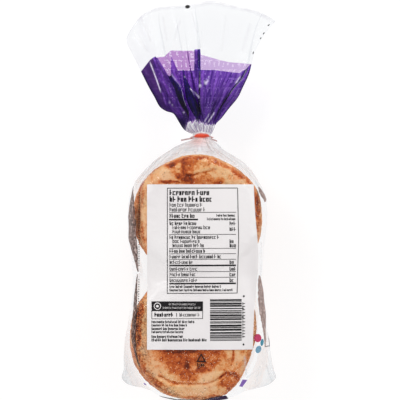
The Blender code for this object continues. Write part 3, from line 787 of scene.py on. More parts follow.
def make_cornmeal(muffins):
    """Loose grains of cornmeal, half sunk in the crust, joined as one piece."""
    rng = random.Random(7)
    deselect()
    bpy.ops.mesh.primitive_ico_sphere_add(subdivisions=1, radius=1.0, location=(0, 0, 0))
    seed_grain = bpy.context.object
    shape = [v.co.copy() for v in seed_grain.data.vertices]
    sides = [tuple(p.vertices) for p in seed_grain.data.polygons]
    bpy.data.objects.remove(seed_grain, do_unlink=True)
    verts = []
    faces = []
    for which, x0, y0, reach, count in CORNMEAL:
        cake = muffins[which].data
        middle = at(x0, y0, 0)
        near = [v for v in cake.vertices
                if (v.co.xy - middle.xy).length < reach * MM and v.normal.z > 0.12]
        for _ in range(min(count, len(near))):
            v = rng.choice(near)
            size = rng.uniform(0.16, 0.36) * MM
            turn = Vector((rng.uniform(-1, 1), rng.uniform(-1, 1), rng.uniform(-1, 1)))
            spin = turn.to_track_quat("Z", "Y").to_matrix()
            stretch = Vector((1.0, rng.uniform(0.7, 1.3), rng.uniform(0.6, 1.0)))
            base = len(verts)
            for corner in shape:
                verts.append(v.co - v.normal * size * 0.25 + spin @ (corner * stretch) * size)
            faces.extend(tuple(base + i for i in side) for side in sides)
    mesh = bpy.data.meshes.new("cornmeal")
    mesh.from_pydata(verts, [], faces)
    mesh.update()
    obj = bpy.data.objects.new("cornmeal", mesh)
    bpy.context.scene.collection.objects.link(obj)
    mesh.shade_smooth()
    return piece(obj, "cornmeal", grain_finish())


# ================================================================ the film round the muffins
BODY_RING = 300
BODY_ROWS = 200


def body_point(y, a, row):
    """A point on the film round the body, at an angle round its section."""
    left, right, low, high, square, lean, ear_left, ear_right = row
    mid_x = (left + right) / 2 * RADIUS
    half_x = (right - left) / 2 * RADIUS
    mid_z = (low + high * STACK_HEIGHT) / 2
    half_z = (high * STACK_HEIGHT - low) / 2
    across = power(math.cos(a), 2 / square)
    up = power(math.sin(a), 2 / square)
    ear = ear_right if across > 0 else ear_left
    x = mid_x + half_x * across + lean * up
    z = mid_z + half_z * up
    out = max(0.0, 1 - abs(math.sin(a)) / 0.17)
    if ear > 0.05 and out > 0:
        x += math.copysign(ear * out, across)
        z = mid_z + (z - mid_z) * (1 - out) ** 1.5
    return x, z, mid_x, mid_z


def ridges(a, seed, count):
    """Uneven ridges round the neck: 1 on a ridge, below zero between them."""
    n = noise.noise(Vector((math.cos(a) * count, math.sin(a) * count, seed)))
    m = noise.noise(Vector((math.cos(a) * count * 2.3, math.sin(a) * count * 2.3, seed + 5)))
    return 1 - 3.2 * abs(n) + 0.7 * m


# Faint creases of the clear film beside and below the muffins, with painted glints and edge highlights
# along some of them: from, to, width, strength.
BODY_CREASES_AND_GLINTS = (
    ((45.9, -32.0), (46.0, -57.0), 0.45, 0.30), ((41.8, 13.8), (49.0, 0.4), 0.5, 0.55),
    ((35.5, -132.6), (45.5, -126.6), 0.8, 0.30), ((50.6, -126.2), (55.0, -139.0), 0.8, 0.26),
    ((-55.2, -119.0), (-56.7, -134.0), 0.6, 0.22), ((33.5, -117.5), (34.5, -130.5), 0.7, 0.42),
    ((-50.0, -130.0), (-57.5, -139.0), 0.5, 0.14), ((45.5, -126.6), (42.0, -140.0), 0.5, 0.10),
    ((-46.5, -33.0), (-46.4, -52.0), 0.5, 0.20), ((50.0, -112.0), (52.6, -124.0), 0.5, 0.14),
)


def crease_and_glint_haze(x, y):
    total = 0.0
    for start, end, width, strength in BODY_CREASES_AND_GLINTS:
        if min(abs(y - start[1]), abs(y - end[1])) > 30:
            continue
        gap, _ = segment_distance(x, y, (start, end))
        if gap < 2.5 * width:
            total += strength * math.exp(-(gap / width) ** 2)
    return total


# How far the gathers draw the film's two sides in: place along, reach.
TUCK = ((0.0, 0.0), (15.0, 1.6), (23.0, 2.3), (30.6, 3.3), (38.0, 5.0), (42.0, 3.2), (46.0, 0.8))


def make_body_film(muffins):
    rows = []
    haze_and_glints = []
    streak = []
    tint_and_facet_shade = []
    start = BODY[0][0]
    end = BODY[-1][0]
    angles = []
    for k in range(BODY_RING):
        a = 2 * math.pi * k / BODY_RING
        angles.append(a - 0.30 * math.sin(2 * a))
    for r in range(-5, BODY_ROWS):
        s = max(0, r) / (BODY_ROWS - 1)
        y = start + (end - start) * (s - 0.10 * math.sin(2 * math.pi * s) * (1 - 0.35 * s))
        row = along(BODY, y)
        shut = -r / 5 if r < 0 else 0.0
        near_neck = ease(2.0, 40.0, y)
        line = []
        for a in angles:
            x, z, mid_x, mid_z = body_point(y, a, row)
            bold = ridges(a, 3.0, 4.0)
            fine = ridges(a + 0.004 * y, 9.0, 7.0)
            gather = (bold * 1.5 + fine * 0.5) * near_neck * (1 - 0.5 * ease(38, 46, y))
            gather *= 1 - 0.7 * ease(NECK_Y - 5.0, NECK_Y - 1.5, y)
            soft = noise.noise(Vector((x * 0.05, y * 0.02, z * 0.05))) * 0.45
            slack = noise.noise(Vector((x * 0.16 + y * 0.05, y * 0.06 - x * 0.05, z * 0.08)))
            slack = (1 - abs(slack) * 2.4) * 0.35
            taut = ease(0.80, 0.97, math.sin(a)) * (1 - near_neck)
            out_x = x - mid_x
            out_z = z - mid_z
            size = math.hypot(out_x, out_z) or 1.0
            move = gather + (soft + slack) * (1 - near_neck * 0.6) * (1 - 0.8 * taut)
            move -= along(TUCK, y)[0] * abs(out_x) / size if y > 0 else 0.0
            if r < 0:
                move = 0.0
            px = x + out_x / size * move
            pz = z + out_z / size * move
            beyond = math.hypot(px + 0.5, y + 11.5) - 46.2
            lift = ease(-0.5, 5.0, beyond) * ease(4.0, 22.0, y)
            # The film round the shoulders is milky, and painted whiter on the ridges of its gathers, as
            # their light.
            folds = max(-0.6, min(1.0, bold * 0.6 + fine * 0.5))
            milk_glint_and_shade = 0.006 + lift * (0.34 + 0.24 * folds)
            milk_glint_and_shade += 0.12 * ease(36, 46, y)
            # A thin painted highlight of the film along the upper muffin's rim.
            milk_glint_and_shade += 0.03 * ease(-2.5, 0.0, beyond) * (1 - ease(0.0, 3.0, beyond)) * ease(4, 22, y)
            flat_ear = max(0.0, 1 - abs(math.sin(a)) / 0.17)
            ear = row[7] if math.cos(a) > 0 else row[6]
            eared = min(1.0, ear / 12) * flat_ear
            milk_glint_and_shade += (0.15 if math.cos(a) > 0 else 0.24) * eared
            # Painted lines of the creases and of their glints.
            creased = crease_and_glint_haze(px, y) if math.sin(a) > 0 else 0.0
            milk_glint_and_shade += creased
            if shut:
                px = mid_x + (px - mid_x) * (1 - 0.05 * shut)
                pz = mid_z + (pz - mid_z) * (1 - shut) ** 0.8
                milk_glint_and_shade += 0.05 * shut
            py = y - 0.35 * math.sin(shut * math.pi / 2)
            line.append((px, py, max(0.12, pz)))
            haze_and_glints.append(max(0.004, milk_glint_and_shade))
            # Streak: darker grey between the ridges near the neck, painted shade in the pleats; the
            # grey of the doubled ears; and the crease and glint lines.
            thin = noise.noise(Vector((math.cos(a) * 13, math.sin(a) * 13, 2.0 + y * 0.03)))
            pleated = min(1.0, max(0.0, 0.36 - 0.35 * bold + 1.1 * thin))
            streak.append(max(pleated * near_neck, 0.85 * eared, min(1.0, 4.0 * creased)))
            tint_and_facet_shade.append(0.75 * ease(0.0, 1.0, math.sin(a)) * ease(37.0, 45.0, y) * ease(52.5, 50.0, y)
                         * math.exp(-((px + 2.0) / 7.5) ** 2))
        rows.append(line)
    points = [[at(*p) for p in row] for row in rows]
    points = keep_outside(points, muffins, 0.45)
    points = keep_outside(smoothed(points), muffins, 0.34)
    film = from_grid("film_body", points, closed_across=True)
    for name, numbers in (("haze_and_glints", haze_and_glints), ("streak", streak), ("tint_and_facet_shade", tint_and_facet_shade)):
        store(film, name, numbers)
    tidy_normals(film)
    return piece(film, "film_body", clear_film_finish(), "bag")


def smoothed(rows):
    """Every point moved halfway to the middle of its four neighbours."""
    count = len(rows[0])
    moved = [rows[0]]
    for above, row, below in zip(rows, rows[1:], rows[2:]):
        moved.append([row[k].lerp((above[k] + below[k] + row[k - 1] + row[(k + 1) % count]) / 4, 0.5)
                      for k in range(count)])
    moved.append(rows[-1])
    return moved


def keep_outside(rows, muffins, clear):
    """Lift the film off the muffins wherever it would come nearer than clear."""
    depsgraph = bpy.context.evaluated_depsgraph_get()
    trees = []
    for cake in muffins:
        low = [min(v.co[i] for v in cake.data.vertices) - 0.002 for i in range(3)]
        high = [max(v.co[i] for v in cake.data.vertices) + 0.002 for i in range(3)]
        trees.append((BVHTree.FromObject(cake, depsgraph), low, high))
    gap = clear * MM
    moved = []
    for row in rows:
        line = []
        for p in row:
            for tree, low, high in trees:
                if any(p[i] < low[i] or p[i] > high[i] for i in range(3)):
                    continue
                spot, normal, _, distance = tree.find_nearest(p, 0.006)
                if spot is None:
                    continue
                inside = (p - spot).dot(normal) < 0
                if inside or distance < gap:
                    direction = normal if inside or distance < 1e-6 else (p - spot).normalized()
                    p = spot + direction * gap
            line.append(Vector((p.x, p.y, max(p.z, 0.00008))))
        moved.append(line)
    return moved


# ================================================================ the fan above the tie
# Each knot is a line in the film, by its place across the fan at five heights, how proud it
# stands, how bright the painted highlight along its fold is, and between which shares. Where a
# place steps back to the left, the film is folded over itself.
STATIONS = (0.20, 0.353, 0.489, 0.618, 1.00)
FRONT_FOLDS = (
    ((-1.00, -1.00, -1.00, -1.00, -1.00), 0.0, 0.00, 0.0, 0.1),
    ((-0.93, -0.86, -0.835, -0.84, -0.86), 4.5, 0.95, 0.39, 0.625),
    ((-0.80, -0.67, -0.71, -0.72, -0.74), 2.0, 0.00, 0.0, 0.1),
    ((-0.425, -0.435, -0.573, -0.57, -0.58), 5.0, 0.38, 0.16, 0.46),
    ((-0.555, -0.57, -0.628, -0.60, -0.56), 1.5, 0.00, 0.0, 0.1),
    ((-0.39, -0.386, -0.381, -0.38, -0.45), -1.0, 0.00, 0.0, 0.1),
    ((-0.08, -0.223, -0.326, -0.31, -0.36), 5.0, 0.85, 0.30, 0.37),
    ((-0.361, -0.369, -0.352, -0.33, -0.34), 1.5, 0.00, 0.0, 0.1),
    ((-0.22, -0.234, -0.234, -0.225, -0.25), -1.5, 0.00, 0.0, 0.1),
    ((-0.062, -0.042, -0.034, -0.022, -0.10), 4.0, 0.40, 0.38, 0.50),
    ((-0.085, -0.065, -0.062, -0.062, -0.08), 2.5, 0.00, 0.0, 0.1),
    ((0.13, 0.112, 0.142, 0.148, 0.12), 1.5, 0.00, 0.0, 0.1),
    ((0.44, 0.484, 0.540, 0.538, 0.52), 3.5, 0.00, 0.0, 0.1),
    ((0.70, 0.777, 0.905, 0.93, 0.80), 4.5, 0.26, 0.34, 0.56),
    ((0.66, 0.745, 0.875, 0.905, 0.82), 1.5, 0.00, 0.0, 0.1),
    ((0.81, 0.870, 0.945, 0.95, 0.92), -0.5, 0.00, 0.0, 0.1),
    ((1.00, 1.00, 1.00, 1.00, 1.00), 0.0, 0.00, 0.0, 0.1),
)
BACK_FOLDS = (
    ((1.00, 1.00, 1.00, 1.00, 1.00), 0.0, 0.0, 0.0, 0.1),
    ((0.62, 0.60, 0.60, 0.60, 0.62), -2.5, 0.0, 0.0, 0.1),
    ((0.24, 0.28, 0.30, 0.30, 0.30), 1.5, 0.0, 0.0, 0.1),
    ((-0.06, -0.04, 0.00, 0.00, 0.00), -2.0, 0.0, 0.0, 0.1),
    ((-0.14, -0.18, -0.20, -0.22, -0.22), -4.0, 0.0, 0.0, 0.1),
    ((-0.02, -0.12, -0.19, -0.22, -0.26), -5.0, 0.0, 0.0, 0.1),
    ((-0.36, -0.36, -0.36, -0.34, -0.34), -3.0, 0.0, 0.0, 0.1),
    ((-0.60, -0.56, -0.55, -0.56, -0.58), 1.0, 0.0, 0.0, 0.1),
    ((-0.84, -0.80, -0.80, -0.80, -0.80), -2.5, 0.0, 0.0, 0.1),
    ((-1.00, -1.00, -1.00, -1.00, -1.00), 0.0, 0.0, 0.0, 0.1),
)
# Upper edge of the ink: how far across, how far along. Front layer, then back layer.
FRONT_INK = (
    (-60.0, 36.0), (-46.7, 50.1), (-39.7, 58.6), (-35.9, 61.3), (-33.5, 59.4), (-30.2, 54.0),
    (-26.0, 46.6), (-23.7, 45.2), (-23.65, 61.8), (-18.2, 49.6), (-18.15, 50.3), (-5.8, 50.3),
    (-5.75, 66.6), (-0.95, 66.6), (-0.9, 50.6), (9.5, 50.5), (22.0, 48.8), (29.0, 48.2),
    (29.6, 48.8), (34.0, 51.5), (37.0, 55.0), (60.0, 60.0),
)
BACK_INK = (
    (-60.0, 36.0), (-46.7, 50.1), (-39.7, 58.6), (-35.9, 61.3), (-29.0, 61.6), (-24.4, 66.2),
    (-23.5, 66.6), (-1.0, 66.7), (-0.95, 63.6), (6.3, 61.3), (13.9, 59.0), (21.6, 57.5),
    (27.7, 57.0), (37.0, 55.9), (60.0, 54.0),
)
# Right-hand edge of the facet at the fan's left that is painted duller and darker, as its shade:
# across, along.
SHADED_FACET_EDGE = (
    (-60.0, 99.0), (-37.6, 62.0), (-36.8, 52.0), (-33.5, 39.5), (-29.5, 28.0), (-26.0, 19.0),
    (-22.0, 2.0),
)
# Painted glints of the lamps on the front layer: across, along, reach, strength.
GLINTS = (
    (-1.2, 38.3, 1.25, 0.95), (3.2, 40.6, 1.5, 0.85), (4.6, 42.4, 1.1, 0.6), (5.3, 45.0, 0.9, 0.45),
    (2.0, 41.8, 0.8, 0.4), (-13.8, 17.8, 0.9, 0.5),
    (-24.6, 25.6, 0.9, 0.4), (-22.6, 23.4, 0.8, 0.35), (-13.0, 45.2, 0.9, 0.35),
)
# Faint creases of the clear part, painted as haze, and painted highlights along the folds of the print:
# from, to, width, strength.
CREASES_AND_GLINTS = (
    ((-16.7, 89.3), (-22.8, 70.1), 0.8, 0.11), ((-0.6, 80.0), (-0.6, 67.8), 0.6, 0.10),
    ((-47.3, 93.0), (-39.7, 73.9), 0.9, 0.10), ((-52.0, 80.0), (-42.0, 66.0), 0.9, 0.08),
    ((-30.0, 92.0), (-27.0, 74.0), 0.9, 0.07), ((18.0, 92.0), (15.0, 66.0), 1.0, 0.06),
    ((37.0, 86.0), (31.0, 66.0), 1.2, 0.07), ((-8.0, 96.0), (-4.0, 80.0), 0.8, 0.07),
    ((-8.3, 35.6), (-2.3, 29.6), 0.50, 0.85), ((9.3, 17.2), (4.7, 10.3), 0.45, 0.70),
    ((5.6, 16.5), (2.0, 10.6), 0.40, 0.50), ((26.0, 40.5), (29.2, 45.4), 0.50, 0.60),
    ((-23.0, 47.0), (-16.0, 38.0), 0.45, 0.35),
)
# Shaded folds of the printed part: from, to, width, strength.
DARK_FOLDS = (
    ((-37.5, 54.0), (-30.0, 34.0), 1.2, 0.55), ((-34.0, 55.0), (-24.0, 40.0), 1.4, 0.55),
    ((-5.0, 64.0), (-3.8, 44.0), 1.5, 0.35), ((28.0, 47.5), (18.0, 27.0), 2.2, 0.30),
    ((18.0, 27.0), (9.0, 12.0), 1.8, 0.35), ((33.0, 42.0), (22.0, 24.0), 1.0, 0.45),
    ((-20.0, 60.0), (-19.0, 48.0), 1.2, 0.45), ((17.0, 42.0), (12.0, 24.0), 1.2, 0.30),
    ((-44.0, 44.0), (-33.0, 24.0), 2.6, 0.45), ((-1.6, 50.0), (-1.6, 40.0), 0.8, 0.15),
    ((10.0, 26.0), (5.0, 11.0), 1.4, 0.45), ((-26.0, 22.0), (-17.0, 11.0), 1.6, 0.45),
    ((2.0, 24.0), (0.0, 11.0), 1.3, 0.35), ((-31.0, 40.0), (-20.0, 20.0), 1.4, 0.35),
    ((-21.0, 40.0), (-11.0, 13.0), 1.8, 0.45), ((20.0, 33.0), (10.5, 13.0), 0.9, 0.45),
    ((13.0, 33.0), (6.5, 12.0), 0.8, 0.35), ((-1.5, 48.0), (-1.0, 12.0), 0.7, 0.40),
)
FRONT_ACROSS = 290
BACK_ACROSS = 170
FAN_ROWS = 92


def fold_lines(folds, count):
    """For each of count lines round one layer: place at each station, height, painted highlight."""
    reach = [0.0]
    for before, after in zip(folds, folds[1:]):
        step = math.hypot((after[0][1] - before[0][1]) * 40.0, (after[1] - before[1]) * 0.8)
        reach.append(reach[-1] + step)
    lines = []
    last = len(folds) - 1
    for k in range(count):
        d = reach[-1] * k / count
        j = 0
        while j < last - 1 and d > reach[j + 1]:
            j += 1
        s = (d - reach[j]) / (reach[j + 1] - reach[j])
        p = [folds[max(0, min(last, j + i))] for i in (-1, 0, 1, 2)]

        def curve(values):
            p0, p1, p2, p3 = values
            return 0.5 * (2 * p1 + (p2 - p0) * s + (2 * p0 - 5 * p1 + 4 * p2 - p3) * s * s
                          + (3 * p1 - p0 - 3 * p2 + p3) * s ** 3)

        places = [curve([q[0][c] for q in p]) for c in range(5)]
        near = p[1] if s < 0.5 else p[2]
        off = (s if s < 0.5 else 1 - s) * (reach[j + 1] - reach[j])
        # The painted highlight along the fold's edge, strongest at the knot.
        white = near[2] * math.exp(-(off / 0.38) ** 2)
        lines.append((places, curve([q[1] for q in p]), white, near[3], near[4], d))
    return lines


def edge_height(table, x):
    k = 0
    while k < len(table) - 2 and x > table[k + 1][0]:
        k += 1
    (x0, y0), (x1, y1) = table[k:k + 2]
    return mix(y0, y1, min(1.0, max(0.0, (x - x0) / (x1 - x0))))


def fan_point(share, line, t, front):
    """A point of the fan: share from the tie to the mouth, one line of one layer."""
    places, proud, _, _, _, _ = line
    left_x, left_y = along(FAN_LEFT, share)
    right_x, right_y = along(FAN_RIGHT, share)
    deep, mid_z = along(FAN_DEPTH, share)
    folded = along(tuple((STATIONS[k], places[k]) for k in range(5)), max(STATIONS[0], share))[0]
    even = -math.cos(math.pi * t) if front else math.cos(math.pi * t)
    gathered = 1 - ease(0.045, 0.20, share)
    u = max(-1.0, min(1.0, mix(folded, even, gathered)))
    middle = FAN_REACH * share
    if u > 0:
        x = u * right_x
        back = (middle - right_y) * u ** (2.2 + 1.3 * share ** 3)
    else:
        x = u * left_x
        back = (middle - left_y) * abs(u) ** (2.2 + 1.8 * share + 1.3 * share ** 3)
    y = middle - back + MOUTH_PEAK * share ** 6 * math.exp(-((u - 0.13) / 0.22) ** 2)
    side = 1.0 if front else -1.0
    round_off = math.sqrt(max(0.0, 1 - u * u)) ** mix(0.9, 1.0, gathered)
    z = mid_z + side * deep * mix(0.42, 1.0, gathered) * round_off
    grown = ease(0.02, 0.34, share) * mix(1.0, 0.14, ease(0.58, 0.86, share))
    z += proud * grown * (1 - abs(u) ** 8)
    wave = math.sin(3.1 * u + 1.0) + 0.6 * math.sin(7.3 * u + 0.4)
    z += side * wave * 1.1 * ease(0.5, 0.95, share) * (1 - abs(u) ** 4)
    tight = (1 - ease(0.08, 0.30, share)) * (1 - abs(u) ** 8)
    ripple = math.sin(t * 118 + (0.0 if front else 1.3)) + 0.6 * math.sin(t * 71 + 2.0)
    z += ripple * 0.62 * tight * ease(0.03, 0.09, share)
    x += math.cos(t * 97) * 0.5 * tight * ease(0.04, 0.1, share)
    return x, y, max(0.5, z), u


def make_fan():
    rows = []
    values = {name: [] for name in ("haze_and_glints", "ink", "dense", "shade", "streak", "tint_and_facet_shade")}
    uvs = []
    layers = [(FRONT_ACROSS, True, fold_lines(FRONT_FOLDS, FRONT_ACROSS)),
              (BACK_ACROSS, False, fold_lines(BACK_FOLDS, BACK_ACROSS))]
    for r in range(FAN_ROWS):
        s = r / (FAN_ROWS - 1)
        share = 0.030 + 0.970 * s ** 1.12
        row = []
        for count, front, lines in layers:
            for k in range(count):
                t = k / count
                line = lines[k]
                dx, dy, z, u = fan_point(share, line, t, front)
                row.append(at(NECK_X + dx, NECK_Y + dy, z))
                top = edge_height(FRONT_INK if front else BACK_INK, dx) - dy
                hump = math.exp(-((dx + 6.0) / 7.0) ** 2)
                side_seed = 1.0 if front else 7.0
                ragged = noise.noise(Vector((t * 23, side_seed, 0.0)))
                frayed = noise.noise(Vector((t * 61, side_seed, 3.0)))
                bottom = 8.6 + 3.0 * hump + 2.6 * ragged + 1.4 * frayed
                corner = ease(-10.5, -13.5, dx)
                bottom = mix(bottom, 1.0, corner)
                values["ink"].append(min(top, dy - bottom))
                _, _, white, start, stop, d = line
                milk_end = 0.100 + 0.030 * hump + 0.040 * ragged + 0.020 * frayed
                milk_glint_and_shade = 0.005 + 0.60 * ease(milk_end, milk_end - 0.055, share) * (1 - 0.9 * corner)
                milk_glint_and_shade += 0.008 if top > 0 else 0.0
                # Painted highlight along the fold edges, between the knot's shares.
                milk_glint_and_shade += white * ease(start - 0.02, start + 0.02, share) * (
                    1 - ease(stop - 0.03, stop + 0.02, share))
                shade = 0.55 * corner * ease(0.20, 0.10, share)
                facet_shade = 0.0
                if front:
                    # Painted glints, then faint creases and painted highlight lines.
                    for gx, gy, reach, strength in GLINTS:
                        gap = math.hypot(dx - gx, dy - gy)
                        if gap < 2 * reach:
                            milk_glint_and_shade += strength * math.exp(-(gap / reach * 1.4) ** 2)
                    for start_at, end_at, width, strength in CREASES_AND_GLINTS:
                        gap, _ = segment_distance(dx, dy, (start_at, end_at))
                        if gap < 2.5 * width:
                            milk_glint_and_shade += strength * math.exp(-(gap / width) ** 2)
                    # The facet at the fan's left is painted duller and darker, as its shade.
                    facet = edge_height(SHADED_FACET_EDGE, dx) - dy
                    facet_shade = ease(-1.5, 1.5, facet)
                    shade += 0.12 * facet_shade
                    for start_at, end_at, width, strength in DARK_FOLDS:
                        gap, _ = segment_distance(dx, dy, (start_at, end_at))
                        if gap < 2.0 * width:
                            shade += strength * math.exp(-(gap / width) ** 2)
                shade += 0.75 * ease(0.970, 0.995, abs(u)) * ease(0.62, 0.54, share)
                shade += 0.34 * ease(0.50, 0.20, share)
                shade += 0.16 * ease(-20.0, -27.0, dx) if front else 0.0
                if share > 0.985:
                    milk_glint_and_shade += 0.09
                milk_glint_and_shade += 0.04 * ease(0.62, 0.72, share) * ease(-0.66, -0.74, u)
                values["haze_and_glints"].append(min(0.97, milk_glint_and_shade))
                values["shade"].append(min(1.0, shade))
                values["dense"].append(1.0 if front else 0.0)
                values["tint_and_facet_shade"].append(facet_shade if front else ease(2.0, -12.0, dx))
                # Pleats of the gathered neck: darker along the ripples of the film, painted shade in
                # the pleats.
                pleat = math.sin(t * 118 + (0.0 if front else 1.3)) + math.sin(t * 67 + 2.0)
                values["streak"].append(min(1.0, max(0.0, 0.66 + 0.42 * pleat + 0.5 * frayed)))
                uvs.append((d + (0 if front else 200), dy))
        rows.append(row)
    fan = from_grid("film_fan", rows, closed_across=True)
    for name, numbers in values.items():
        store(fan, name, numbers)
    layer = fan.data.uv_layers.new(name="film")
    count = FRONT_ACROSS + BACK_ACROSS
    loops = fan.data.loops
    for poly in fan.data.polygons:
        columns = [loops[i].vertex_index % count for i in poly.loop_indices]
        wraps = 0 in columns and count - 1 in columns
        turns = FRONT_ACROSS in columns and FRONT_ACROSS - 1 in columns
        for i, column in zip(poly.loop_indices, columns):
            u0, v0 = uvs[loops[i].vertex_index]
            if wraps and column == 0:
                u0 = uvs[count - 1][0] + 0.6
            if turns and column == FRONT_ACROSS:
                u0 = uvs[FRONT_ACROSS - 1][0] + 0.6
            layer.data[i].uv = (u0, v0)
    fan.data.shade_smooth()
    return piece(fan, "film_fan", printed_film_finish(), "bag")


# ================================================================ label and print
class Lay:
    """Lays flat print on the film: each point goes straight down onto it, then a hair up."""

    def __init__(self, film):
        self.tree = BVHTree.FromObject(film, bpy.context.evaluated_depsgraph_get())

    def drop(self, x, y, lift):
        hit, _, _, _ = self.tree.ray_cast(at(x, y, 120.0), Vector((0, 0, -1)))
        if hit is None:
            hit = self.tree.find_nearest(at(x, y, 38.0))[0]
        return hit + Vector((0, 0, 1)) * lift * MM


class Print:
    """Collects flat shapes of one ink, to be laid on the film as one piece."""

    def __init__(self, lay, lift):
        self.lay = lay
        self.lift = lift
        self.verts = []
        self.faces = []

    def quad(self, corners, step=1.5):
        """A four-cornered patch, cut finely enough to follow the film."""
        (ax, ay), (bx, by), (cx, cy), (dx, dy) = corners
        wide = max(math.hypot(bx - ax, by - ay), math.hypot(cx - dx, cy - dy))
        tall = max(math.hypot(dx - ax, dy - ay), math.hypot(cx - bx, cy - by))
        nu = max(1, math.ceil(wide / step))
        nv = max(1, math.ceil(tall / step))
        base = len(self.verts)
        for j in range(nv + 1):
            for i in range(nu + 1):
                u = i / nu
                v = j / nv
                x = mix(mix(ax, bx, u), mix(dx, cx, u), v)
                y = mix(mix(ay, by, u), mix(dy, cy, u), v)
                self.verts.append(self.lay.drop(x, y, self.lift))
        for j in range(nv):
            for i in range(nu):
                a = base + j * (nu + 1) + i
                self.faces.append((a, a + 1, a + nu + 2, a + nu + 1))

    def box(self, x0, y0, x1, y1, skew=0.0):
        self.quad(((x0, y0), (x1, y0 + skew), (x1, y1 + skew), (x0, y1)))

    def blob(self, x, y, rx, ry, turn=0.0, steps=12):
        base = len(self.verts)
        self.verts.append(self.lay.drop(x, y, self.lift))
        for k in range(steps):
            a = 2 * math.pi * k / steps
            px = rx * math.cos(a)
            py = ry * math.sin(a)
            self.verts.append(self.lay.drop(x + px * math.cos(turn) - py * math.sin(turn),
                                            y + px * math.sin(turn) + py * math.cos(turn),
                                            self.lift))
        for k in range(steps):
            self.faces.append((base, base + 1 + k, base + 1 + (k + 1) % steps))

    def ring(self, x, y, reach, wide, steps=24):
        for k in range(steps):
            corners = []
            for turn, out in ((k, reach - wide), (k, reach), (k + 1, reach), (k + 1, reach - wide)):
                a = 2 * math.pi * turn / steps
                corners.append((x + out * math.cos(a), y + out * math.sin(a)))
            self.quad(corners)

    def words(self, x0, x1, y, tall, weight, rng, skew=0.0):
        """A line of stand-in writing: small upright and level strokes in word-like groups."""
        x = x0
        while x < x1 - tall * 0.4:
            letters = rng.randint(2, 9)
            for n in range(letters):
                wide = tall * rng.uniform(0.50, 0.72)
                if x + wide > x1:
                    break
                base = y + skew * (x - x0)
                kind = rng.randint(0, 6)
                top = base + tall * (1.38 if n == 0 or kind == 1 else 1.0)
                self.box(x, base, x + weight, top)
                if kind in (0, 2, 4, 6):
                    self.box(x + wide - weight, base, x + wide, base + tall)
                if kind in (0, 3, 5, 6):
                    self.box(x + weight, base + tall - weight * 0.8, x + wide, base + tall)
                if kind in (2, 3, 4, 6):
                    self.box(x + weight, base, x + wide, base + weight * 0.8)
                if kind in (1, 5):
                    level = base + tall * 0.45
                    self.box(x + weight, level, x + wide, level + weight * 0.8)
                x += wide + tall * 0.16
            x += tall * 0.36

    def done(self, name, material):
        mesh = bpy.data.meshes.new(name)
        mesh.from_pydata(self.verts, [], self.faces)
        mesh.update()
        obj = bpy.data.objects.new(name, mesh)
        bpy.context.scene.collection.objects.link(obj)
        bm = bmesh.new()
        bm.from_mesh(mesh)
        for f in bm.faces:
            f.normal_update()
            if f.normal.z < 0:
                f.normal_flip()
        bm.to_mesh(mesh)
        bm.free()
        mesh.shade_smooth()
        return piece(obj, name, material)


# The label's table: its left and right edge, top and foot, and the column its lines start in.
TABLE_LEFT = -24.6
TABLE_RIGHT = 28.0
TABLE_TOP = 8.8
TABLE_FOOT = -69.7
TEXT_LEFT = -22.7
TEXT_RIGHT = 26.9
LABEL_TILT = 0.002      # how far the lines climb to the right
THIN_RULES = (-9.3, -25.8, -36.2, -40.2, -44.4, -53.6, -57.9)
THICK_RULES = (-49.0, -62.5)
# Lines of stand-in writing: from, to, middle height, height of a letter, weight of a stroke.
TABLE_LINES = (
    (TEXT_LEFT, 8.2, 5.1, 3.0, 0.86), (TEXT_LEFT, 9.3, 0.15, 3.0, 0.86),
    (TEXT_LEFT, 3.0, -4.0, 2.2, 0.42), (TEXT_LEFT, 4.5, -7.5, 2.2, 0.42),
    (TEXT_LEFT, -2.6, -12.2, 2.3, 0.60), (12.3, TEXT_RIGHT, -11.7, 1.4, 0.42),
    (5.2, TEXT_RIGHT, -14.4, 1.4, 0.42),
    (TEXT_LEFT, -2.6, -17.7, 2.0, 0.50), (TEXT_LEFT + 2.2, 8.6, -20.8, 2.0, 0.42),
    (TEXT_LEFT + 2.2, 0.8, -23.9, 2.0, 0.42), (TEXT_LEFT, 14.6, -28.1, 2.0, 0.50),
    (TEXT_LEFT + 2.2, -0.4, -31.1, 2.0, 0.42), (TEXT_LEFT + 2.2, 3.0, -34.2, 2.0, 0.42),
    (TEXT_LEFT, 4.9, -38.4, 2.0, 0.50), (TEXT_LEFT, 15.7, -42.6, 2.0, 0.50),
    (TEXT_LEFT, -3.4, -46.8, 2.0, 0.42), (TEXT_LEFT, -0.8, -51.8, 2.0, 0.42),
    (TEXT_LEFT, -3.4, -56.0, 2.0, 0.42), (TEXT_LEFT, -1.9, -60.3, 2.0, 0.42),
    (TEXT_LEFT, 15.7, -64.9, 1.4, 0.45), (TEXT_LEFT, 25.1, -67.5, 1.4, 0.45),
)
SHARES = (-17.8, -22.1, -31.1, -34.2, -46.8, -51.8, -56.0, -60.3)
NOTE_LEFT = -36.2
NOTE_RIGHT = 2.2
NOTE_LINES = (
    (-34.0, -19.1, -86.0, 2.2, 0.71), (-15.3, 0.4, -86.0, 1.9, 0.38),
    (NOTE_LEFT, -3.7, -91.2, 1.4, 0.46), (NOTE_LEFT, -9.0, -93.7, 1.4, 0.46),
    (NOTE_LEFT, -10.5, -96.3, 1.4, 0.46), (NOTE_LEFT, -12.3, -98.7, 1.4, 0.46),
    (NOTE_LEFT, -12.3, -102.2, 1.5, 0.54), (NOTE_LEFT, 5.8, -104.8, 1.6, 0.57),
    (-2.2, 4.1, -123.3, 1.9, 0.52),
)
BARS_LEFT = 7.5
BARS_RIGHT = 31.1
BARS_TOP = -74.2
BARS_FOOT = -105.6
DASH_STEP = 1.75


def panel_right(y):
    """The right edge of the white panel, which swells towards the middle of the bag."""
    return 40.2 + 3.6 * math.exp(-((y + 44.0) / 30.0) ** 2) - 0.6 * ease(-70, -111, y)


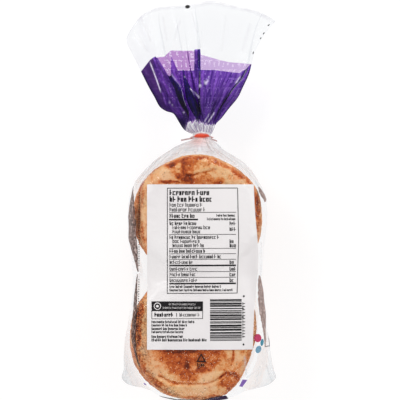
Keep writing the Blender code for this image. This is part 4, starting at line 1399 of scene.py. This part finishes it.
def lay_panel(lay, material):
    panel = Print(lay, 0.22)
    left = -39.6
    top = 11.7
    foot = -111.8
    rows = 60
    for r in range(rows):
        y0 = mix(top, foot, r / rows)
        y1 = mix(top, foot, (r + 1) / rows)
        panel.quad(((left, y1), (panel_right(y1), y1), (panel_right(y0), y0), (left, y0)))
    panel.done("label_panel", material)


def rule(marks, x0, x1, y, tall):
    marks.box(x0, y - tall / 2, x1, y + tall / 2, skew=0.15)


def writing(marks, lines, rng):
    for x0, x1, y, tall, weight in lines:
        marks.words(x0, x1, y - tall / 2, tall, weight, rng, LABEL_TILT)


def draw_table(marks, rng):
    """The framed table: its edges, which lean with the film, then rules and writing."""
    edge = 0.50
    for y in (TABLE_TOP, TABLE_FOOT):
        rule(marks, TABLE_LEFT, TABLE_RIGHT, y, edge)
    belly = (28.6, -29.9)
    for (foot_x, foot_y), (top_x, top_y) in (((TABLE_LEFT - 0.1, TABLE_FOOT), (TABLE_LEFT, TABLE_TOP)),
                                             (belly, (TABLE_RIGHT - 0.2, TABLE_TOP)),
                                             ((TABLE_RIGHT - 0.5, TABLE_FOOT), belly)):
        marks.quad(((foot_x, foot_y), (foot_x + edge, foot_y), (top_x + edge, top_y), (top_x, top_y)))
    for y in THIN_RULES:
        rule(marks, TEXT_LEFT - 0.3, TEXT_RIGHT, y, 0.37)
    for y in THICK_RULES:
        rule(marks, TEXT_LEFT - 0.3, TEXT_RIGHT, y, 1.15)
    rule(marks, TEXT_LEFT - 0.5, -1.5, -14.7, 1.15)
    writing(marks, TABLE_LINES, rng)
    for y in SHARES:
        marks.words(22.1, TEXT_RIGHT, y - 1.05, 2.1, 0.52, rng, LABEL_TILT)


def draw_note(marks, rng):
    """The black block with its box below, and the lines of small writing under it."""
    block_top = -75.7
    block_foot = -83.0
    box_foot = -88.7
    edge = 0.37
    marks.box(NOTE_LEFT, block_foot, NOTE_RIGHT, block_top)
    rule(marks, NOTE_LEFT, NOTE_RIGHT, box_foot, edge)
    for x in (NOTE_LEFT, NOTE_RIGHT - edge):
        marks.box(x, box_foot, x + edge, block_foot)
    rule(marks, -17.7, -17.3, -85.9, 3.1)
    writing(marks, NOTE_LINES, rng)


def draw_bars(marks, rng):
    """A ladder of level bars with small figures beside it."""
    y = BARS_TOP
    while y > BARS_FOOT:
        thick = rng.choice((0.27, 0.45, 0.75, 1.25, 1.45))
        longer = 1.6 if rng.random() < 0.12 else 0.0
        rule(marks, BARS_LEFT, BARS_RIGHT + longer, y - thick / 2, thick)
        y -= thick + rng.choice((0.37, 0.37, 0.50, 0.95))
    for k in range(12):
        figure_y = -77.4 - 2.24 * k
        bend = rng.uniform(0.0, 0.45)
        marks.box(31.7, figure_y - 0.82, 32.3, figure_y + 0.82)
        marks.box(32.3, figure_y - bend, 33.7, figure_y - bend + 0.52)
    marks.blob(32.8, -72.0, 0.75, 0.75)
    marks.blob(32.5, -107.9, 0.70, 0.80)


def draw_dashes(marks):
    """Two broken columns of small dashes on the clear film left of the panel."""
    for first, last, start_x, end_x in ((5.2, -51.0, -45.4, -45.9), (-60.0, -108.5, -46.0, -46.6)):
        dashes = int((first - last) / DASH_STEP)
        for k in range(dashes):
            y = mix(first, last, k / dashes)
            x = mix(start_x, end_x, k / dashes)
            marks.box(x - 0.35, y - 0.45, x + 0.35, y + 0.45)


def draw_triangle(marks):
    """The open triangle under the panel, as three bars round its middle."""
    corners = ((0.9, -114.3), (-2.8, -120.9), (4.6, -120.9))
    inner = 0.42
    middle = [sum(corner[i] for corner in corners) / 3 for i in range(2)]
    for k in range(3):
        a = corners[k]
        b = corners[(k + 1) % 3]
        inside_a = [mix(a[i], middle[i], inner) for i in range(2)]
        inside_b = [mix(b[i], middle[i], inner) for i in range(2)]
        marks.quad((a, b, inside_b, inside_a))


def make_label(film):
    """The white panel with its generic print: strokes that stand in for the writing."""
    lay = Lay(film)
    rng = random.Random(41)
    white = label_finish()
    lay_panel(lay, white)
    marks = Print(lay, 0.36)
    draw_table(marks, rng)
    draw_note(marks, rng)
    draw_bars(marks, rng)
    draw_dashes(marks)
    draw_triangle(marks)
    marks.quad(((49.4, -111.7), (53.6, -111.9), (53.6, -111.3), (49.4, -111.1)))
    marks.quad(((53.1, -111.6), (53.6, -111.6), (52.2, -101.0), (51.8, -101.0)))
    marks.done("label_marks", ink_finish("black label ink", (0.012, 0.011, 0.012), 0.45, 0.2))
    light = Print(lay, 0.48)
    light.words(-23.2, -3.0, -78.5, 1.2, 0.15, rng)
    light.words(-27.7, 0.8, -81.2, 1.2, 0.15, rng)
    light.ring(-31.8, -79.3, 2.7, 0.55)
    light.blob(-31.8, -79.3, 1.0, 1.0)
    light.done("label_light_marks", white)


# Small print that runs along the bag's two sides: place along, inner and outer reach.
SIDE_PRINT = {
    "left_upper": ((10.7, -50.4, 3.0), (6.0, -50.2, 7.0), (0.0, -49.2, 12.0), (-15.3, -47.9, 22.0),
                   (-30.6, -46.9, 24.0), (-38.3, -46.5, 14.0), (-46.0, -46.3, 8.0),
                   (-54.0, -46.0, 2.0)),
    "left_lower": ((-56.0, -46.6, 1.5), (-63.0, -46.9, 5.0), (-69.0, -46.8, 8.0),
                   (-76.6, -46.9, 11.0), (-92.0, -47.2, 16.0), (-104.0, -47.8, 15.0),
                   (-113.0, -47.6, 10.0), (-122.0, -45.8, 6.0), (-130.0, -42.6, 2.0)),
    "right_lower": ((-56.8, 43.8, 2.0), (-63.0, 43.2, 8.0), (-76.6, 43.2, 14.0),
                    (-91.9, 45.8, 16.0), (-103.4, 47.8, 14.0), (-111.2, 48.6, 10.0)),
    "right_upper": ((9.6, 43.0, 3.0), (5.0, 44.2, 8.0), (1.0, 46.6, 10.0), (-1.4, 48.2, 4.0)),
}


def make_side_print(film):
    """Strips of small print round the side of the film, from their inner edge downwards."""
    tree = BVHTree.FromObject(film, bpy.context.evaluated_depsgraph_get())
    verts = []
    faces = []
    places = []
    pale = []
    wide = 10
    for name, stations in SIDE_PRINT.items():
        side = -1.0 if name.startswith("left") else 1.0
        first = stations[0][0]
        last = stations[-1][0]
        rows = max(6, int((first - last) / 1.6))
        table = tuple((-y, abs(inner), reach) for y, inner, reach in stations)
        base = len(verts)
        for r in range(rows + 1):
            y = mix(first, last, r / rows)
            inner, reach = along(table, -y)
            centre = at(-2.0, y, 36.0)
            path = []
            for k in range(0, 150):
                turn = math.radians(80 - k)
                ray = Vector((side * math.cos(turn), 0, math.sin(turn)))
                hit, normal, _, _ = tree.ray_cast(centre, ray)
                if hit is None:
                    continue
                if normal.dot(ray) < 0:
                    normal = -normal
                if abs((hit.x / MM) - SHIFT_X) >= inner:
                    path.append(hit + normal * 0.18 * MM)
            walked = [0.0]
            for p, q in zip(path, path[1:]):
                walked.append(walked[-1] + (q - p).length / MM)
            full = min(reach, walked[-1])
            for i in range(wide + 1):
                goal = full * i / wide
                k = 0
                while k < len(walked) - 2 and walked[k + 1] < goal:
                    k += 1
                s = (goal - walked[k]) / max(1e-6, walked[k + 1] - walked[k])
                verts.append(path[k].lerp(path[k + 1], min(1.0, max(0.0, s))))
                places.append((y, inner - goal))
                pale.append(0.36 if side > 0 else 0.10 * ease(-60.0, -40.0, y))
        for r in range(rows):
            for i in range(wide):
                a = base + r * (wide + 1) + i
                face = (a, a + 1, a + wide + 2, a + wide + 1)
                faces.append(face if side < 0 else face[::-1])
    mesh = bpy.data.meshes.new("side_print")
    mesh.from_pydata(verts, [], faces)
    mesh.update()
    obj = bpy.data.objects.new("side_print", mesh)
    bpy.context.scene.collection.objects.link(obj)
    bm = bmesh.new()
    bm.from_mesh(mesh)
    middle = at(-2.0, -50.0, 36.0)
    for f in bm.faces:
        f.normal_update()
        if f.normal.x * (f.calc_center_median().x - middle.x) < 0:
            f.normal_flip()
    bm.to_mesh(mesh)
    bm.free()
    layer = mesh.uv_layers.new(name="film")
    for loop in mesh.loops:
        layer.data[loop.index].uv = places[loop.vertex_index]
    store(obj, "pale", pale)
    mesh.shade_smooth()
    return piece(obj, "side_print", strip_finish())


def make_end_print(film):
    """The dark purple print that shows as a thin line along the closed end."""
    tree = BVHTree.FromObject(film, bpy.context.evaluated_depsgraph_get())
    verts = []
    faces = []
    columns = 40
    steps = 14
    for c in range(columns + 1):
        share = c / columns
        x = mix(-31.0, 21.5, share)
        out = (2 * share - 1) ** 2
        full = ease(-0.25, 0.85, share) * (1 - ease(0.96, 1.06, share))
        upper = mix(32.0, 74.4, full)
        centre = at(x, -136.0, 34.0)
        for k in range(steps + 1):
            turn = math.radians(mix(upper, 6.0 + 16.0 * out ** 3, k / steps))
            ray = Vector((0, -math.cos(turn), math.sin(turn)))
            hit, normal, _, _ = tree.ray_cast(centre, ray)
            if hit is None:
                hit = centre + ray * 0.012
                normal = ray
            if normal.dot(ray) < 0:
                normal = -normal
            verts.append(hit + normal * 0.18 * MM)
    for c in range(columns):
        for k in range(steps):
            a = c * (steps + 1) + k
            faces.append((a, a + 1, a + steps + 2, a + steps + 1))
    mesh = bpy.data.meshes.new("end_print")
    mesh.from_pydata(verts, [], faces)
    mesh.update()
    obj = bpy.data.objects.new("end_print", mesh)
    bpy.context.scene.collection.objects.link(obj)
    bm = bmesh.new()
    bm.from_mesh(mesh)
    for f in bm.faces:
        f.normal_update()
        if f.normal.y > 0:
            f.normal_flip()
    bm.to_mesh(mesh)
    bm.free()
    mesh.shade_smooth()
    return piece(obj, "end_print", ink_finish("purple ink", (0.020, 0.004, 0.036), 0.9, 0.25))


def make_fan_marks(fan):
    """The round eye mark near the mouth and the broken line along the fan's right edge."""
    black = bpy.data.materials["black label ink"]
    marks = Print(Lay(fan), 0.16)
    marks.blob(NECK_X - 11.0, NECK_Y + 99.9, 1.85, 1.40, steps=20)
    for dx, dy, long, turn in ((51.6, 86.0, 1.1, 0.7), (47.8, 79.6, 1.1, 1.0), (45.4, 75.8, 0.9, 0.9),
                               (39.6, 64.3, 1.2, 1.3), (37.2, 54.6, 0.8, 1.3)):
        marks.blob(NECK_X + dx, NECK_Y + dy, long, 0.40, turn, steps=8)
    marks.done("fan_marks", black)


def make_spots(film):
    """Round fields of thin colour on the clear film beside the label."""
    lay = Lay(film)
    for name, x, y, rx, ry, turn, colour in (
            ("spot_pink", 43.3, -103.4, 2.8, 3.1, 0.2, (0.50, 0.040, 0.12)),
            ("spot_teal", 46.6, -106.9, 1.3, 2.7, -0.1, (0.04, 0.24, 0.34)),
            ("spot_blue", 43.8, -112.0, 2.2, 2.9, -0.35, (0.16, 0.33, 0.46)),
            ("scrap_purple_left", -41.6, -139.6, 1.2, 0.8, -0.5, (0.26, 0.16, 0.46))):
        spot = Print(lay, 0.15)
        spot.blob(x, y, rx, ry, turn, steps=24)
        spot.done(name, thin_ink_finish(name.replace("_", " ") + " ink", colour, 0.7))
    scrap = Print(lay, 0.15)
    scrap.quad(((29.4, -139.6), (31.8, -134.4), (35.6, -134.8), (31.8, -140.2)), 1.0)
    scrap.done("scrap_purple_right", thin_ink_finish("scrap purple right ink", (0.22, 0.12, 0.42), 0.6))


# ================================================================ twist tie
def tie_finish():
    mat, tree, out = new_material("tie plastic")
    wing = value_of(tree, "wing")
    tone = grain(tree, 420, 3, 0.6)
    red = blend_colour(tree, tone, (0.60, 0.026, 0.005), (0.84, 0.075, 0.014))
    pink = blend_colour(tree, tone, (0.62, 0.33, 0.31), (0.76, 0.47, 0.45))
    colour = blend_colour(tree, wing, red, pink)
    alpha = calc(tree, "SUBTRACT", 1.0, calc(tree, "MULTIPLY", wing, 0.55))
    bump = add(tree, "ShaderNodeBump", {"Strength": 0.3, "Distance": 0.0002, "Height": tone})
    shader = add(tree, "ShaderNodeBsdfPrincipled", {
        "Base Color": colour, "Roughness": 0.34, "Alpha": alpha, "Normal": bump.outputs[0]})
    tree.links.new(shader.outputs[0], out.inputs[0])
    return mat


TIE_SECTION = (
    (-2.3, 0.00, 1.0), (-2.3, 0.22, 1.0), (-1.5, 0.30, 0.9), (-0.95, 0.42, 0.1),
    (-0.55, 0.85, 0.0), (0.0, 1.02, 0.0), (0.55, 0.85, 0.0), (0.95, 0.42, 0.1),
    (1.5, 0.30, 0.9), (2.3, 0.22, 1.0), (2.3, 0.00, 1.0), (0.0, 0.0, 0.0),
)


def tie_strip(path, closed):
    """A ribbon with a wire down its middle and two thin wings, along a path."""
    verts = []
    wings = []
    faces = []
    ring = len(TIE_SECTION)
    for point, across, outward, width, pale in path:
        for s, t, wing in TIE_SECTION:
            verts.append(at(*(point[i] + across[i] * s * width + outward[i] * t
                              for i in range(3))))
            wings.append(min(1.0, wing * 0.25 + pale))
    count = len(path)
    for k in range(count if closed else count - 1):
        a = ring * k
        b = ring * ((k + 1) % count)
        for i in range(ring):
            j = (i + 1) % ring
            faces.append((a + i, b + i, b + j, a + j))
    if not closed:
        faces.append(tuple(range(ring)))
        faces.append(tuple(reversed(range(ring * (count - 1), ring * count))))
    mesh = bpy.data.meshes.new("tie")
    mesh.from_pydata(verts, [], faces)
    mesh.update()
    obj = bpy.data.objects.new("tie", mesh)
    bpy.context.scene.collection.objects.link(obj)
    store(obj, "wing", wings)
    bm = bmesh.new()
    bm.from_mesh(mesh)
    bmesh.ops.recalc_face_normals(bm, faces=bm.faces)
    bm.to_mesh(mesh)
    bm.free()
    return obj


def make_tie():
    band = []
    steps = 84
    for k in range(steps):
        a = 2 * math.pi * k / steps
        rx = NECK_WIDE + 0.3
        rz = NECK_DEEP + 0.3
        top = max(0.0, math.sin(a))
        crumple = 0.12 * math.sin(7 * a + 0.8)
        point = (NECK_X + rx * math.cos(a), NECK_Y - 1.3 + 1.4 * top + crumple,
                 NECK_Z + rz * math.sin(a))
        nx = math.cos(a) / rx
        nz = math.sin(a) / rz
        size = math.hypot(nx, nz)
        shown = max(0.0, (top - 0.68) / 0.32)
        width = 0.16 + 0.60 * shown ** 0.7 + 0.16 * max(0.0, -math.sin(a))
        bare = ease(0.80, 0.66, top) * mix(0.55, 0.80, ease(-0.1, 0.2, math.sin(a)))
        band.append((point, (0, 1, 0), (nx / size, 0, nz / size), width, bare))
    parts = [tie_strip(band, True)]
    for side, reach, drop in ((-1, 15.6, 2.4), (1, 11.4, 3.0)):
        path = []
        for k in range(26):
            s = k / 25
            turn = math.pi * mix(0.9, 0.86, s)
            point = (NECK_X + side * (0.4 + reach * s), NECK_Y - 0.5 - drop * s ** 1.6,
                     NECK_Z - NECK_DEEP - 3.9 + 5.6 * s ** 2)
            across = (0, math.cos(turn * 0.5), math.sin(turn * 0.5))
            outward = (0, -math.sin(turn * 0.5), math.cos(turn * 0.5))
            path.append((point, across, outward, mix(0.30, 0.55, s), 0.65 + 0.2 * s))
        parts.append(tie_strip(path, False))
    twist = []
    for k in range(30):
        s = k / 29
        turn = 2 * math.pi * 1.25 * s
        outward = (0, -math.sin(turn), math.cos(turn))
        twist.append(((NECK_X - 3.2 + 6.4 * s, NECK_Y - 0.5 - outward[1] * 0.5,
                       NECK_Z - NECK_DEEP - 2.9 - outward[2] * 0.5),
                      (0, math.cos(turn), math.sin(turn)), outward, 0.8, 0.0))
    parts.append(tie_strip(twist, False))
    deselect()
    for part in parts:
        part.select_set(True)
    bpy.context.view_layer.objects.active = parts[0]
    bpy.ops.object.join()
    tie = bpy.context.object
    only(tie)
    bpy.ops.object.shade_smooth_by_angle(angle=math.radians(50))
    return piece(tie, "tie", tie_finish(), "twist_tie")


# ================================================================ floor, light and camera
FLOOR_GLOW = 0.80
ROOM_LIGHT = 0.78
KEY_W = 9.4


def make_stage():
    deselect()
    bpy.ops.mesh.primitive_plane_add(size=6.0, location=(0, 0, -0.0003))
    floor = bpy.context.object
    floor.name = "floor"
    mat, tree, out = new_material("pale floor")
    shader = add(tree, "ShaderNodeBsdfPrincipled", {
        "Base Color": (0.24, 0.24, 0.24, 1), "Roughness": 0.9, "Specular IOR Level": 0.1,
        "Emission Color": (1.0, 1.0, 1.0, 1), "Emission Strength": FLOOR_GLOW})
    tree.links.new(shader.outputs[0], out.inputs[0])
    floor.data.materials.append(mat)
    world = bpy.data.worlds.new("soft room")
    bpy.context.scene.world = world
    world.use_nodes = True
    tree = world.node_tree
    height = add(tree, "ShaderNodeSeparateXYZ", {0: add(tree, "ShaderNodeTexCoord").outputs[0]})
    glow = ramp(tree, height.outputs[2], (
        (0.0, (1.0, 1.0, 1.0)), (0.45, (0.80, 0.80, 0.81)), (0.80, (0.30, 0.30, 0.31)),
        (1.0, (0.12, 0.12, 0.13))))
    tree.links.new(glow, tree.nodes["Background"].inputs[0])
    tree.nodes["Background"].inputs[1].default_value = ROOM_LIGHT
    for name, spot, size, power_w, aim in (
            ("key", (-0.80, 0.60, 1.05), 0.6, KEY_W, (0, -0.02, 0.03)),
            ("fill", (0.95, 0.10, 0.95), 0.7, KEY_W * 0.62, (0, -0.02, 0.03)),
            ("low", (-0.20, -1.10, 0.80), 0.6, KEY_W * 0.42, (0, -0.05, 0.03)),
            ("strip", (0.30, 1.10, 0.55), 0.4, KEY_W * 0.30, (0, 0.08, 0.03))):
        data = bpy.data.lights.new(name, "AREA")
        data.size = size
        data.energy = power_w
        lamp = bpy.data.objects.new(name, data)
        lamp.location = spot
        lamp.rotation_euler = (Vector(aim) - Vector(spot)).to_track_quat("-Z", "Y").to_euler()
        bpy.context.scene.collection.objects.link(lamp)


def make_camera():
    data = bpy.data.cameras.new("camera")
    camera = bpy.data.objects.new("camera", data)
    high = 1.70
    middle_height = 0.0375
    view_wide = 0.3064
    camera.location = (SHIFT_X * MM, SHIFT_Y * MM, high)
    camera.rotation_euler = (0, 0, 0)
    data.sensor_width = 36.0
    data.lens = data.sensor_width * (high - middle_height) / view_wide
    data.clip_start = 0.01
    data.clip_end = 20.0
    bpy.context.scene.collection.objects.link(camera)
    bpy.context.scene.camera = camera
    bpy.context.scene.view_settings.view_transform = "Standard"
    bpy.context.scene.cycles.transparent_max_bounces = 40
    bpy.context.scene.cycles.max_bounces = 10


make_stage()
make_camera()
MADE = make_muffins()
make_cornmeal(MADE)
FILM = make_body_film(MADE)
FAN = make_fan()
make_label(FILM)
make_side_print(FILM)
make_spots(FILM)
make_end_print(FILM)
make_fan_marks(FAN)
make_tie()
